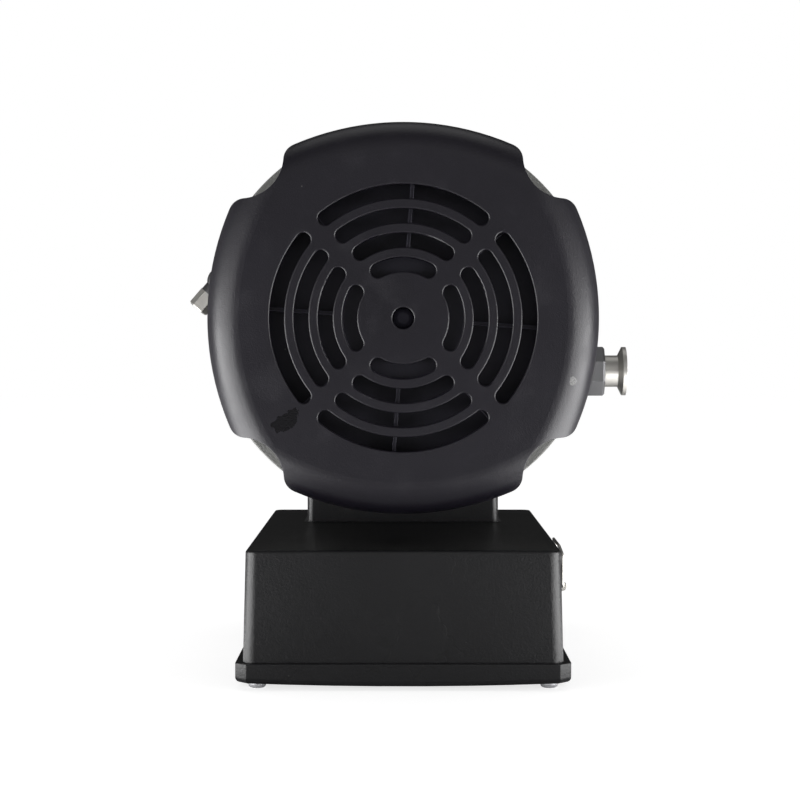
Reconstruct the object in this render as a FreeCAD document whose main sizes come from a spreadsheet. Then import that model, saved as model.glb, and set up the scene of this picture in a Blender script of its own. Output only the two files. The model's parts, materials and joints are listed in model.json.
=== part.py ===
import FreeCAD, Part
import Sketcher
import math
import os

# Dry scroll vacuum pump with its electronics base.
# Millimetres, +Z up, +X right, front (fan side) at -Y. The origin lies on the floor under the middle
# of the pump, and the shaft axis runs along Y, axis_height above it.

V = FreeCAD.Vector
document = FreeCAD.newDocument("scroll_pump")
sheet = document.addObject("Spreadsheet::Sheet", "Sizes")


# A length that carries its value and the expression that gives it
class Size:
    def __init__(self, value, text):
        self.value = value
        self.text = text

    def __add__(self, other):
        other = as_size(other)
        return Size(self.value + other.value, f"({self.text} + {other.text})")

    def __sub__(self, other):
        other = as_size(other)
        return Size(self.value - other.value, f"({self.text} - {other.text})")

    def __mul__(self, other):
        other = as_size(other)
        return Size(self.value * other.value, f"({self.text} * {other.text})")

    def __truediv__(self, other):
        other = as_size(other)
        return Size(self.value / other.value, f"({self.text} / {other.text})")

    def __radd__(self, other):
        return as_size(other) + self

    def __rsub__(self, other):
        return as_size(other) - self

    def __rmul__(self, other):
        return as_size(other) * self

    def __neg__(self):
        return Size(-self.value, f"(0 - {self.text})")

    def __float__(self):
        return float(self.value)


def as_size(value):
    if isinstance(value, Size):
        return value
    text = f"{value:.9g}"
    return Size(float(value), text if value >= 0 else f"({text})")


def root(value):
    value = as_size(value)
    return Size(math.sqrt(value.value), f"sqrt({value.text})")


# One row of the sheet: a name in words and a plain number
def size(name, value):
    size.row += 1
    sheet.set(f"A{size.row}", name.replace("_", " "))
    sheet.set(f"B{size.row}", f"{value:g}")
    sheet.setAlias(f"B{size.row}", name)
    return Size(float(value), f"Sizes.{name}")


size.row = 0

# Clearances shared by all fits
fit = size("fit", 0.05)
running = size("running", 0.3)
seat_gap = size("seat_gap", 0.1)

# Shroud: four lobes flatter than a circle, with a hollow scallop on each diagonal
shroud_depth = size("shroud_depth", 74)
shroud_reach = size("shroud_reach", 111)
lobe_radius = size("lobe_radius", 157)
lobe_corner = size("lobe_corner", 24)
scallop_radius = size("scallop_radius", 22.7)
scallop_centre = size("scallop_centre", 127)
scallop_corner = size("scallop_corner", 10.5)
shoulder_radius = size("shoulder_radius", 19)
shroud_wall = size("shroud_wall", 3)
grille_first = size("grille_first", 30)
grille_pitch = size("grille_pitch", 13.6)
slot_width = size("slot_width", 8.2)
spoke_width = size("spoke_width", 9)
centre_hole = size("centre_hole", 6)
slot_round = size("slot_round", 0.8)
lug_width = size("lug_width", 14)
lug_depth = size("lug_depth", 13)
lug_bottom = size("lug_bottom", 95)
screw_size = size("screw_size", 2)
screw_head = size("screw_head", 3.5)
screw_head_depth = size("screw_head_depth", 2.2)
screw_pad = size("screw_pad", 6)
screw_pad_depth = size("screw_pad_depth", 3)
lug_top = shroud_reach - shroud_wall - screw_pad_depth

# Scroll casting, wraps and orbit
flange_radius = size("flange_radius", 115)
fixed_plate = size("fixed_plate", 12)
rim_depth = size("rim_depth", 14)
chamber_radius = size("chamber_radius", 101)
hub_front = size("hub_front", 28)
fin_height = size("fin_height", 22)
fin_thick = size("fin_thick", 2.4)
fin_reach = size("fin_reach", 91)
wrap_thick = size("wrap_thick", 4)
wrap_height = size("wrap_height", 24)
wrap_start = size("wrap_start", 37.4)
orbit = size("orbit", 4.5)
axial_gap = size("axial_gap", 0.3)
seal_width = size("seal_width", 2)
seal_depth = size("seal_depth", 1.6)
orbit_plate = size("orbit_plate", 10)
orbit_rim = size("orbit_rim", 93)
orbit_hub = size("orbit_hub", 31)
orbit_hub_depth = size("orbit_hub_depth", 5)
nose_radius = size("nose_radius", 27)
hub_wall = size("hub_wall", 6)
exhaust_hole = size("exhaust_hole", 2.6)
exhaust_turn = size("exhaust_turn", 16.8)

# Shaft, eccentric and bearings
eccentric_radius = size("eccentric_radius", 15)
orbit_bearing_wall = size("orbit_bearing_wall", 6)
front_shaft = size("front_shaft", 10)
front_bearing_radius = size("front_bearing_radius", 21)
front_bearing_width = size("front_bearing_width", 14)
seal_ring_width = size("seal_ring_width", 7)
seal_ring_radius = size("seal_ring_radius", 17)
main_shaft = size("main_shaft", 12.5)
main_bearing_radius = size("main_bearing_radius", 26)
main_bearing_width = size("main_bearing_width", 15)
fan_shaft = size("fan_shaft", 8)
rear_shaft = size("rear_shaft", 9)
rear_bearing_radius = size("rear_bearing_radius", 19)
rear_bearing_width = size("rear_bearing_width", 12)

# Fan and counterweights
fan_gap = size("fan_gap", 6)
fan_depth = size("fan_depth", 17)
fan_hub = size("fan_hub", 36)
fan_reach = size("fan_reach", 78)
fan_disc = size("fan_disc", 2)
blade_thick = size("blade_thick", 1.8)
fan_blades = 8
fan_turn = size("fan_turn", 4)
weight_radius = size("weight_radius", 34)
weight_thick = size("weight_thick", 12)
rear_weight_radius = size("rear_weight_radius", 50)
rear_weight_thick = size("rear_weight_thick", 10)
weight_cut = size("weight_cut", 1)

# Anti-rotation cranks
guide_circle = size("guide_circle", 76)
guide_pin = size("guide_pin", 4)
guide_disc = size("guide_disc", 10)
guide_disc_thick = size("guide_disc_thick", 4.5)
guide_bearing = size("guide_bearing", 8)
guide_clearance = size("guide_clearance", 0.1)
guide_bearing_width = size("guide_bearing_width", 7)
guide_turn = 30

# Main housing, motor and rear end
crank_space = size("crank_space", 18.7)
housing_wall = size("housing_wall", 10)
housing_shell = size("housing_shell", 6)
housing_flange = size("housing_flange", 8)
lantern_length = size("lantern_length", 67)
lantern_radius = size("lantern_radius", 76)
lantern_wall = size("lantern_wall", 9)
motor_length = size("motor_length", 104)
motor_radius = size("motor_radius", 68)
motor_wall = size("motor_wall", 7)
motor_fin = size("motor_fin", 7)
motor_flange = size("motor_flange", 84)
stator_bore = size("stator_bore", 35)
rotor_gap = size("rotor_gap", 0.5)
core_length = size("core_length", 70)
bell_thick = size("bell_thick", 10)
cowl_depth = size("cowl_depth", 34)
cowl_radius = size("cowl_radius", 75)
cowl_wall = size("cowl_wall", 2.5)
cowl_edge = size("cowl_edge", 8)
inlet_back = size("inlet_back", 26)
inlet_boss = size("inlet_boss", 20)
inlet_boss_top = size("inlet_boss_top", 97)
inlet_thread = size("inlet_thread", 15.5)
exhaust_boss = size("exhaust_boss", 17)
exhaust_thread = size("exhaust_thread", 9.5)

# Bolts and screws along the shaft
bolt_size = size("bolt_size", 2.5)
bolt_head = size("bolt_head", 4.2)
bolt_head_height = size("bolt_head_height", 4)
bolt_grip = size("bolt_grip", 11)
housing_bolt_circle = size("housing_bolt_circle", 109.5)
housing_bolt_turn = 22.5
housing_bolt_count = 8
motor_bolt_circle = size("motor_bolt_circle", 79.6)
motor_flange_thick = size("motor_flange_thick", 8)
bell_screw_circle = size("bell_screw_circle", 64.5)
bell_screw_turn = 22.5
bell_screw_count = 8
groove_centre = size("groove_centre", 103.6)
groove_width = size("groove_width", 2.6)
groove_depth = size("groove_depth", 2)

# Vacuum ports, by their ISO-KF sizes
exhaust_drop = size("exhaust_drop", 31.6)
exhaust_back = size("exhaust_back", 36)
port_reach = size("port_reach", 138)
small_flange = size("small_flange", 15)
small_tube = size("small_tube", 9.75)
small_bore = size("small_bore", 8)
flange_lip = size("flange_lip", 3)
flange_cone = size("flange_cone", 2)
large_flange = size("large_flange", 20)
large_tube = size("large_tube", 14)
large_bore = size("large_bore", 12.5)
inlet_height = size("inlet_height", 108)
adapter_width = size("adapter_width", 15.1)
boss_reach = size("boss_reach", 112)
tube_length = size("tube_length", 13.5)

# Purge fitting on the left
purge_back = size("purge_back", 17)
purge_height = size("purge_height", 25.8)
purge_thread = size("purge_thread", 5)
purge_reach = size("purge_reach", 117.68)
purge_body = size("purge_body", 7)
bend_radius = size("bend_radius", 9.3)
bend_arm = size("bend_arm", 11.6)
cap_half = size("cap_half", 6)
cap_length = size("cap_length", 12.2)
cap_turn = size("cap_turn", 49)

# Base and pedestal
axis_height = size("axis_height", 209.9)
base_setback = size("base_setback", 8)
base_length = size("base_length", 300)
base_width = size("base_width", 178.6)
base_top = size("base_top", 78.9)
base_draft = size("base_draft", 1.37)
base_wall = size("base_wall", 3.5)
base_corner = size("base_corner", 6.5)
tray_top = size("tray_top", 15.2)
tray_edge = size("tray_edge", 4.3)
tray_crown = size("tray_crown", 2.4)
tray_corner = size("tray_corner", 6.5)
tray_round = size("tray_round", 3)
tray_lip = size("tray_lip", 4.2)
tray_floor = size("tray_floor", 3)
pedestal_width = size("pedestal_width", 124.6)
pedestal_depth = size("pedestal_depth", 90)
pedestal_share = size("pedestal_share", 0.65)
pedestal_top = size("pedestal_top", 168)
pedestal_flare = size("pedestal_flare", 2.4)
pedestal_wall = size("pedestal_wall", 9)
pedestal_roof = size("pedestal_roof", 116)
pedestal_screw_inset = size("pedestal_screw_inset", 16.3)
tray_screw_inset = size("tray_screw_inset", 6.5)
tray_trim = size("tray_trim", 1)
foot_radius = size("foot_radius", 5.1)
foot_inset = size("foot_inset", 11.9)
foot_seat = size("foot_seat", 3.4)
foot_round = size("foot_round", 2.2)

# Connectors on the right side of the base
panel_step = size("panel_step", 1.2)
socket_height = size("socket_height", 50.9)
socket_back = size("socket_back", 95)
ear_spacing = size("ear_spacing", 40)
wire_radius = size("wire_radius", 0.9)
bail_height = size("bail_height", 22)
bail_lean = size("bail_lean", 1.9)
bail_offset = size("bail_offset", 6.9)
ear_radius = size("ear_radius", 2.8)
ear_thick = size("ear_thick", 0.7)
ear_reach = size("ear_reach", 5)
panel_spacing = size("panel_spacing", 52)
socket_body_y = size("socket_body_y", 13.75)
socket_body_z = size("socket_body_z", 10)
switch_y = size("switch_y", 7.2)
switch_z = size("switch_z", 10.8)
rocker_lean = size("rocker_lean", 8)

# Electronics inside the base
board_height = size("board_height", 26)
board_thick = size("board_thick", 1.6)

# Stations along the shaft, counted from the front of the shroud
wall_to_back = crank_space + housing_wall + lantern_length + motor_length + bell_thick + cowl_depth
overall = shroud_depth + fixed_plate + wrap_height + axial_gap + orbit_plate + wall_to_back
y_front = -(overall / 2)
y_flange = y_front + shroud_depth
y_floor = y_flange + fixed_plate
y_joint = y_floor + rim_depth
y_tip = y_floor + wrap_height
y_orbit = y_tip + axial_gap
y_orbit_back = y_orbit + orbit_plate
y_wall = y_orbit_back + crank_space
y_wall_back = y_wall + housing_wall
y_motor = y_wall_back + lantern_length
y_bell = y_motor + motor_length
y_cowl = y_bell + bell_thick
y_back = y_cowl + cowl_depth
y_base = y_front + base_setback
base_middle = y_base + base_length / 2
y_exhaust = y_joint + exhaust_back
y_inlet = y_wall_back + inlet_back
y_purge = y_motor - purge_back
y_guide_disc = y_wall - 0.5 - guide_disc_thick
y_guide_boss = y_guide_disc - 0.7
y_fan = y_front + shroud_wall + fan_gap
y_fan_back = y_fan + fan_depth
y_shaft_front = y_fan + 1.5
y_main_seat = y_wall + 1 + seal_ring_width
y_main_end = y_main_seat + main_bearing_width
y_rear_seat = y_cowl - 3 - rear_bearing_width
y_shaft_back = y_cowl + 20
core_start = (y_motor + y_bell) / 2 - core_length / 2
core_end = core_start + core_length
eccentric_start = y_floor + 3.5
eccentric_end = y_orbit_back + 1
y_pedestal = y_base + base_length * pedestal_share
y_pedestal_end = y_pedestal + pedestal_depth
pedestal_screw_x = pedestal_width / 2 - pedestal_screw_inset
tray_screw_x = base_width / 2 - tray_screw_inset
y_socket = y_base + socket_back
y_switch = y_socket + panel_spacing
y_remote = y_switch + panel_spacing


# A fully constrained sketch on one of its body's origin planes, given in that plane's own X and Y
class Outline:
    def __init__(self, body, plane, lift, name):
        self.sketch = body.newObject("Sketcher::SketchObject", name)
        support = next(f for f in body.Origin.OriginFeatures if f.Role == plane)
        self.sketch.AttachmentSupport = [(support, "")]
        self.sketch.MapMode = "FlatFace"
        self.sketch.setExpression("AttachmentOffset.Base.z", as_size(lift).text)
        self.sketch.AttachmentOffset = FreeCAD.Placement(V(0, 0, float(as_size(lift))), FreeCAD.Rotation())

    def bind(self, kind, *arguments):
        value = as_size(arguments[-1])
        index = self.sketch.addConstraint(Sketcher.Constraint(kind, *arguments[:-1], value.value))
        self.sketch.setExpression(f"Constraints[{index}]", value.text)

    def place(self, geometry, point, x, y):
        self.bind("DistanceX", -1, 1, geometry, point, x)
        self.bind("DistanceY", -1, 1, geometry, point, y)

    def circle(self, radius, x=0, y=0):
        shape = Part.Circle(V(float(x), float(y), 0), V(0, 0, 1), float(radius))
        index = self.sketch.addGeometry(shape, False)
        self.place(index, 3, x, y)
        self.bind("Radius", index, radius)
        return self

    # A closed path of points. A corner (x, y, radius) starts an arc to the next point, with its
    # centre on the left of the way there when the radius is positive
    def path(self, *corners):
        ends = []
        count = len(corners)
        for here, there in zip(corners, corners[1:] + corners[:1]):
            start = V(float(here[0]), float(here[1]), 0)
            end = V(float(there[0]), float(there[1]), 0)
            if len(here) == 2:
                index = self.sketch.addGeometry(Part.LineSegment(start, end), False)
                ends.append((index, 1, 2))
                continue
            radius = float(here[2])
            chord = end - start
            left = V(-chord.y, chord.x, 0).normalize()
            reach = math.sqrt(max(radius ** 2 - chord.Length ** 2 / 4, 0))
            centre = (start + end) * 0.5 + left * math.copysign(reach, radius)
            turn = [math.atan2(p.y - centre.y, p.x - centre.x) for p in (start, end)]
            if radius < 0:
                turn.reverse()
            circle = Part.Circle(centre, V(0, 0, 1), abs(radius))
            index = self.sketch.addGeometry(Part.ArcOfCircle(circle, turn[0], turn[1]), False)
            ends.append((index, 1, 2) if radius > 0 else (index, 2, 1))
        for number in range(count):
            index, _, last = ends[number]
            after, first, _ = ends[(number + 1) % count]
            self.sketch.addConstraint(Sketcher.Constraint("Coincident", index, last, after, first))
        for (index, first, _), here in zip(ends, corners):
            self.place(index, first, here[0], here[1])
            if len(here) > 2:
                self.bind("Radius", index, here[2] if float(here[2]) > 0 else -here[2])
        return self

    def rectangle(self, left, bottom, right, top):
        return self.path((left, bottom), (right, bottom), (right, top), (left, top))


# One sub-part built as a body: sketches and features in its own frame, whose origin a Placement sets
class Piece:
    def __init__(self, label, x=0, y=0, z=0):
        self.body = document.addObject("PartDesign::Body", label)
        self.body.AllowCompound = True
        self.label = label
        for axis, value in zip("xyz", (x, y, z)):
            self.body.setExpression(f"Placement.Base.{axis}", as_size(value).text)
        self.count = 0

    def outline(self, plane, lift=0):
        self.count += 1
        return Outline(self.body, plane, lift, f"{self.label}_outline_{self.count}")

    def feature(self, kind, outline=None):
        self.count += 1
        made = self.body.newObject(f"PartDesign::{kind}", f"{self.label}_{kind.lower()}_{self.count}")
        if outline is not None:
            made.Profile = outline.sketch
            outline.sketch.Visibility = False
        return made

    # Material along the plane's normal: X for YZ, Z for XY, and Y for XZ, always towards plus
    def stand(self, kind, plane, start, end, draw, taper=None):
        start = as_size(start)
        end = as_size(end)
        outline = self.outline(plane, -end if plane == "XZ_Plane" else start)
        draw(outline)
        made = self.feature(kind, outline)
        made.setExpression("Length", (end - start).text)
        made.Reversed = kind == "Pocket"
        if taper is not None:
            made.setExpression("TaperAngle", as_size(taper).text)
        self.check(made)
        return made

    def check(self, made):
        document.recompute()
        if any(state in ("Invalid", "Error") for state in made.State) or made.Shape.isNull():
            raise RuntimeError(f"{made.Name} failed")

    def pad(self, plane, start, end, draw, taper=None):
        return self.stand("Pad", plane, start, end, draw, taper)

    def pocket(self, plane, start, end, draw, taper=None):
        before = self.body.Shape.Volume
        made = self.stand("Pocket", plane, start, end, draw, taper)
        if self.body.Shape.Volume > before - 1e-3:
            raise RuntimeError(f"{made.Name} cuts nothing")
        return made

    # A shape turned about the body's Y axis, from corners given as (radius, y)
    def turn(self, *corners, kind="Revolution"):
        outline = self.outline("XY_Plane").path(*corners)
        made = self.feature(kind, outline)
        made.ReferenceAxis = (outline.sketch, ["V_Axis"])
        made.Angle = 360
        self.check(made)
        return made

    def around(self, features, count, axis="Y_Axis"):
        made = self.feature("PolarPattern")
        made.Originals = features if isinstance(features, list) else [features]
        made.Axis = (next(f for f in self.body.Origin.OriginFeatures if f.Role == axis), [""])
        made.Angle = 360
        made.Occurrences = count
        self.body.Tip = made
        self.check(made)
        return made

    def mirror(self, features, plane):
        made = self.feature("Mirrored")
        made.Originals = features if isinstance(features, list) else [features]
        made.MirrorPlane = (next(f for f in self.body.Origin.OriginFeatures if f.Role == plane), [""])
        self.body.Tip = made
        document.recompute()
        return made

    # Rounds every edge of the present shape that the test picks
    def soften(self, radius, test, kind="Fillet"):
        base = self.body.Tip
        names = [f"Edge{n}" for n, edge in enumerate(base.Shape.Edges, 1) if test(edge)]
        if not names:
            raise RuntimeError(f"{self.label}: no edge to round")
        made = self.feature(kind)
        made.Base = (base, names)
        made.setExpression("Radius" if kind == "Fillet" else "Size", as_size(radius).text)
        self.check(made)
        return made


# Polar point about the origin, with the angle in degrees from the plane's X axis
def polar(radius, degrees):
    turn = math.radians(degrees)
    return as_size(radius) * math.cos(turn), as_size(radius) * math.sin(turn)


# A piece whose own Y axis is the shaft axis, or parallel to it at x
def shaft_piece(label, x=0):
    return Piece(label, x=x, z=axis_height)


parts = []


def keep(piece):
    made = piece.body if isinstance(piece, Piece) else piece
    parts.append(made)
    return made


def join(kind, label, *pieces):
    made = document.addObject(f"Part::{kind}", label)
    shapes = [p.body if isinstance(p, Piece) else p for p in pieces]
    if kind == "Cut":
        made.Base = shapes[0]
        made.Tool = shapes[1]
    else:
        made.Shapes = shapes
    document.recompute()
    return made


# A joined shape with the edges that the test picks rounded
def rounded(label, base, radius, test):
    made = document.addObject("Part::Fillet", label)
    made.Base = base
    made.Edges = [(n, float(radius), float(radius)) for n, e in enumerate(base.Shape.Edges, 1) if test(e)]
    document.recompute()
    return made


# A plain sleeve or ring about the shaft axis
def ring(label, inner, outer, start, end, x=0):
    piece = shaft_piece(label, x)
    piece.turn((inner, start), (outer, start), (outer, end), (inner, end))
    return piece


# Where two circles cross, on the right of the way from the first centre to the second
def crossing(first, first_radius, second, second_radius):
    apart = math.dist(first, second)
    along = (apart ** 2 + first_radius ** 2 - second_radius ** 2) / (2 * apart)
    off = math.sqrt(first_radius ** 2 - along ** 2)
    step = ((second[0] - first[0]) / apart, (second[1] - first[1]) / apart)
    return first[0] + step[0] * along + step[1] * off, first[1] + step[1] * along - step[0] * off


def quarter_turned(point, quarter):
    for _ in range(quarter):
        point = (-point[1], point[0])
    return point


# Arcs that touch smoothly in a ring: each is (centre, radius, from point, to point, way, held)
def smooth_ring(outline, arcs):
    ends = []
    for centre, radius, start, end, way, held in arcs:
        spot = (float(centre[0]), float(centre[1]))
        turn = [math.atan2(p[1] - spot[1], p[0] - spot[0]) for p in (start, end)]
        if way < 0:
            turn.reverse()
        circle = Part.Circle(V(*spot, 0), V(0, 0, 1), float(radius))
        index = outline.sketch.addGeometry(Part.ArcOfCircle(circle, turn[0], turn[1]), False)
        ends.append((index, 1, 2) if way > 0 else (index, 2, 1))
        if "x" in held:
            outline.bind("DistanceX", -1, 1, index, 3, centre[0])
        if "y" in held:
            outline.bind("DistanceY", -1, 1, index, 3, centre[1])
        if "r" in held:
            outline.bind("Radius", index, radius)
    for here, there in zip(ends, ends[1:] + ends[:1]):
        outline.sketch.addConstraint(Sketcher.Constraint("Tangent", here[0], here[2], there[0], there[1]))


def tangent_point(centre, radius, other):
    apart = math.dist(centre, other)
    return tuple(c + (o - c) * radius / apart for c, o in zip(centre, other))


# The four lobes, either rounded where they meet or with a scallop between them
def lobed_outline(outline, inset, scalloped):
    big = lobe_radius - inset
    offset = shroud_reach - lobe_radius
    lobe = (float(offset), 0.0)
    if scalloped:
        small = scallop_corner - inset
        hollow = scallop_radius + inset
        place = scallop_centre / math.sqrt(2)
        dip = (float(place), float(place))
        corner = crossing(lobe, float(big - small), dip, float(hollow + small))
        low = tangent_point(dip, float(hollow), corner)
    else:
        small = lobe_corner - inset
        reach = float(big - small)
        side = (lobe[0] + math.sqrt(2 * reach ** 2 - lobe[0] ** 2)) / 2
        corner = (side, side)
    touch = tangent_point(lobe, float(big), corner)
    arcs = []
    for quarter in range(4):
        def turned(point):
            return quarter_turned(point, quarter)
        before = quarter_turned(touch[::-1], (quarter + 3) % 4)
        centre = turned((offset, as_size(0)))
        arcs.append((centre, big, before, turned(touch), 1, "xyr"))
        if not scalloped:
            arcs.append((turned(corner), small, turned(touch), turned(touch[::-1]), 1, "r"))
            continue
        arcs.append((turned(corner), small, turned(touch), turned(low), 1, "r"))
        arcs.append((turned((place, place)), hollow, turned(low), turned(low[::-1]), -1, "xyr"))
        arcs.append((turned(corner[::-1]), small, turned(low[::-1]), turned(touch[::-1]), 1, "r"))
    smooth_ring(outline, arcs)


# The shroud's outer form, or the space inside it when it is inset by the wall
def shroud_form(label, inset, back):
    inset = as_size(inset)
    dome = shaft_piece(f"{label}_dome")
    front = y_front + inset
    dome.pad("XZ_Plane", front, back, lambda o: lobed_outline(o, inset, False))
    dome.soften(shoulder_radius - inset, lambda e: e.BoundBox.YMax < float(front) + 0.01)
    prism = shaft_piece(f"{label}_prism")
    prism.pad("XZ_Plane", front - 1, back, lambda o: lobed_outline(o, inset, True))
    return join("MultiCommon", label, dome, prism)


# One curved slot with round ends, in the upper quadrant
def grille_slot(outline, middle):
    half = slot_width / 2
    gap = spoke_width / 2 + half
    reach = root(middle * middle - gap * gap)
    across = (reach - gap) / math.sqrt(2)
    up = (reach + gap) / math.sqrt(2)
    right = (float(across), float(up))
    left = (-right[0], right[1])

    def at(end, radius):
        return tangent_point((0.0, 0.0), float(radius), end)
    inner = middle - half
    outer = middle + half
    smooth_ring(outline, [
        ((0, 0), outer, at(right, outer), at(left, outer), 1, "xyr"),
        ((-across, up), half, at(left, outer), at(left, inner), 1, "x"),
        ((0, 0), inner, at(left, inner), at(right, inner), -1, "xyr"),
        ((across, up), half, at(right, inner), at(right, outer), 1, "x"),
    ])


def make_front_shroud():
    outer = shroud_form("shroud_outside", 0, y_flange)
    inner = shroud_form("shroud_inside", shroud_wall, y_flange + 1)
    slots = shaft_piece("shroud_slots")

    def draw(outline):
        for ring_number in range(4):
            grille_slot(outline, grille_first + grille_pitch * ring_number)
    cut = slots.pad("XZ_Plane", y_front - 1, y_front + shroud_wall + 1, draw)
    slots.around(cut, 4)
    slots.pad("XZ_Plane", y_front - 1, y_front + shroud_wall + 1, lambda o: o.circle(centre_hole))
    holes = shaft_piece("shroud_screw_holes")
    reach = shroud_reach + 1
    head_seat = shroud_reach - screw_head_depth
    y_screw = y_flange - lug_depth / 2
    bore = holes.pad("YZ_Plane", lug_top, reach, lambda o: o.circle(screw_size + fit * 4, y_screw))
    sink = holes.pad("YZ_Plane", head_seat, reach, lambda o: o.circle(screw_head + fit * 4, y_screw))
    holes.around([bore, sink], 4)
    pads = shaft_piece("shroud_screw_pads")
    inside = shroud_reach - shroud_wall + 0.5
    pad = pads.pad("YZ_Plane", lug_top, inside, lambda o: o.circle(screw_pad, y_screw))
    pads.around(pad, 4)
    shell = join("Cut", "shroud_shell", outer, inner)
    padded = join("MultiFuse", "shroud_padded", shell, pads)
    cutters = join("MultiFuse", "shroud_cutters", slots, holes)
    open_shell = join("Cut", "shroud_open", padded, cutters)
    keep(rounded("front_shroud", open_shell, slot_round, lambda e: e.BoundBox.YMax < float(y_front) + 0.01
                 and e.BoundBox.DiagonalLength < 150))


# A socket-head screw along X in the body's own frame: head from head_end inwards, then the shank
def screw_along(piece, plane, seat, head_top, tip, head_radius, shank_radius, x=0, y=0):
    head = piece.pad(plane, seat, head_top, lambda o: o.circle(head_radius, x, y))
    shank = piece.pad(plane, tip, seat, lambda o: o.circle(shank_radius, x, y))
    return [head, shank]


def make_shroud_screws():
    screws = shaft_piece("shroud_screws")
    y_screw = y_flange - lug_depth / 2
    seat = shroud_reach - screw_head_depth
    made = screw_along(screws, "YZ_Plane", seat, shroud_reach - 0.2, lug_top - 7,
                       screw_head, screw_size, y_screw)
    screws.around(made, 4)
    keep(screws)


# Scroll wraps: quarter arcs about the corners of a square, each one side of the square larger than
# the last. The square is the orbit and the wrap's thickness, so both wraps keep the same gap all round
def spiral_strip(thickness, inset_ends):
    side = (float(orbit) + float(wrap_thick) + float(running)) / 2
    room = float(orbit_rim) - float(wrap_thick) / 2 - side / math.sqrt(2) - float(wrap_start)
    turns = 1 + int(room / side)
    half = thickness / 2
    inner_edges = []
    outer_edges = []
    for number in range(turns):
        quarter = number % 4
        corner = V(side / 2, side / 2, 0)
        turn = FreeCAD.Rotation(V(0, 0, 1), 90 * quarter)
        centre = turn.multVec(corner)
        radius = float(wrap_start) + side * number
        first = 90 * quarter - 90
        start = inset_ends / radius if number == 0 else 0
        end = inset_ends / radius if number == turns - 1 else 0
        span = (math.radians(first) + start, math.radians(first + 90) - end)
        for edges, reach in ((inner_edges, radius - half), (outer_edges, radius + half)):
            circle = Part.Circle(centre, V(0, 0, 1), reach)
            edges.append(Part.ArcOfCircle(circle, *span).toShape())
    caps = []
    for chain, place in ((0, 0), (-1, 1)):
        near = inner_edges[chain].Vertexes[place].Point
        far = outer_edges[chain].Vertexes[place].Point
        middle = (near + far) * 0.5
        along = (far - near).normalize()
        out = V(along.y, -along.x, 0) * (1 if chain == 0 else -1)
        caps.append(Part.Arc(near, middle + out * half, far).toShape())
    edges = Part.sortEdges(inner_edges + outer_edges + caps)[0]
    return Part.Face(Part.Wire(edges))


# A wrap or its seal standing on a scroll, seen from the front: it reaches from base to tip along Y
def spiral_wall(label, base, tip, thickness, turned=0.0, x=0.0, inset_ends=0.0):
    face = spiral_strip(thickness, inset_ends)
    low = min(float(base), float(tip))
    height = abs(float(tip) - float(base))
    solid = face.extrude(V(0, 0, height))
    made = document.addObject("Part::Feature", label)
    made.Shape = solid
    upright = FreeCAD.Rotation(V(1, 0, 0), 90).multiply(FreeCAD.Rotation(V(0, 0, 1), turned))
    made.Placement = FreeCAD.Placement(V(float(x), low + height, float(axis_height)), upright)
    return made


def make_fixed_scroll():
    casting = shaft_piece("fixed_scroll_casting")
    hub_face = y_flange - hub_front
    bearing_back = hub_face + front_bearing_width
    seal_back = bearing_back + seal_ring_width + 1
    bore = front_bearing_radius + fit
    seal_bore = seal_ring_radius + fit
    casting.turn((bore, hub_face), (bore + hub_wall, hub_face), (bore + hub_wall, y_flange),
                 (flange_radius, y_flange), (flange_radius, y_joint), (chamber_radius, y_joint),
                 (chamber_radius, y_floor), (front_shaft + 3, y_floor), (front_shaft + 3, seal_back),
                 (seal_bore, seal_back), (seal_bore, bearing_back), (bore, bearing_back))
    rim_edge = [float(flange_radius), float(y_flange)]
    casting.soften(0.8, lambda e: abs(e.BoundBox.XMax - rim_edge[0]) < 0.01
                   and abs(e.BoundBox.YMax - rim_edge[1]) < 0.01 and e.BoundBox.YLength < 0.01)
    fin = casting.pad("XZ_Plane", y_flange - fin_height, y_flange, lambda o: o.rectangle(
        bore + hub_wall - 1, -(fin_thick / 2), fin_reach, fin_thick / 2))
    casting.around(fin, 24)
    lug = casting.pad("XZ_Plane", y_flange - lug_depth, y_flange, lambda o: o.rectangle(
        lug_bottom, -(lug_width / 2), lug_top, lug_width / 2))
    casting.around(lug, 4)
    hole = casting.pocket("YZ_Plane", lug_bottom - 1, lug_top, lambda o: o.circle(
        screw_size + fit, y_flange - lug_depth / 2))
    casting.around(hole, 4)
    bolt = casting.pocket("XZ_Plane", y_joint - bolt_grip, y_joint, lambda o: o.circle(
        bolt_size + fit, *polar(housing_bolt_circle, housing_bolt_turn)))
    casting.around(bolt, housing_bolt_count)
    wrap = spiral_wall("fixed_wrap", y_floor, y_tip, float(wrap_thick))
    groove = spiral_wall("fixed_groove", y_tip - seal_depth, y_tip + 1, float(seal_width) + 2 * float(fit),
                         inset_ends=float(seal_width))
    passage = Piece("exhaust_passage", z=axis_height)
    passage.body.setExpression("Placement.Rotation.Angle", exhaust_turn.text)
    passage.body.Placement = FreeCAD.Placement(V(0, 0, float(axis_height)),
                                               FreeCAD.Rotation(V(0, 1, 0), float(exhaust_turn)))
    passage.body.setExpression("Placement.Rotation.Angle", exhaust_turn.text)
    mid = y_flange + fixed_plate / 2
    passage.pad("YZ_Plane", front_bearing_radius + 8, housing_bolt_circle,
                lambda o: o.circle(exhaust_hole, mid))
    passage.pad("XZ_Plane", mid, y_joint + 1, lambda o: o.circle(exhaust_hole, housing_bolt_circle))
    passage.pad("XZ_Plane", mid, y_floor + 1, lambda o: o.circle(exhaust_hole, front_bearing_radius + 9))
    solid = join("MultiFuse", "fixed_scroll_solid", casting, wrap)
    cutters = join("MultiFuse", "fixed_scroll_cutters", groove, passage)
    keep(join("Cut", "fixed_scroll", solid, cutters))


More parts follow.
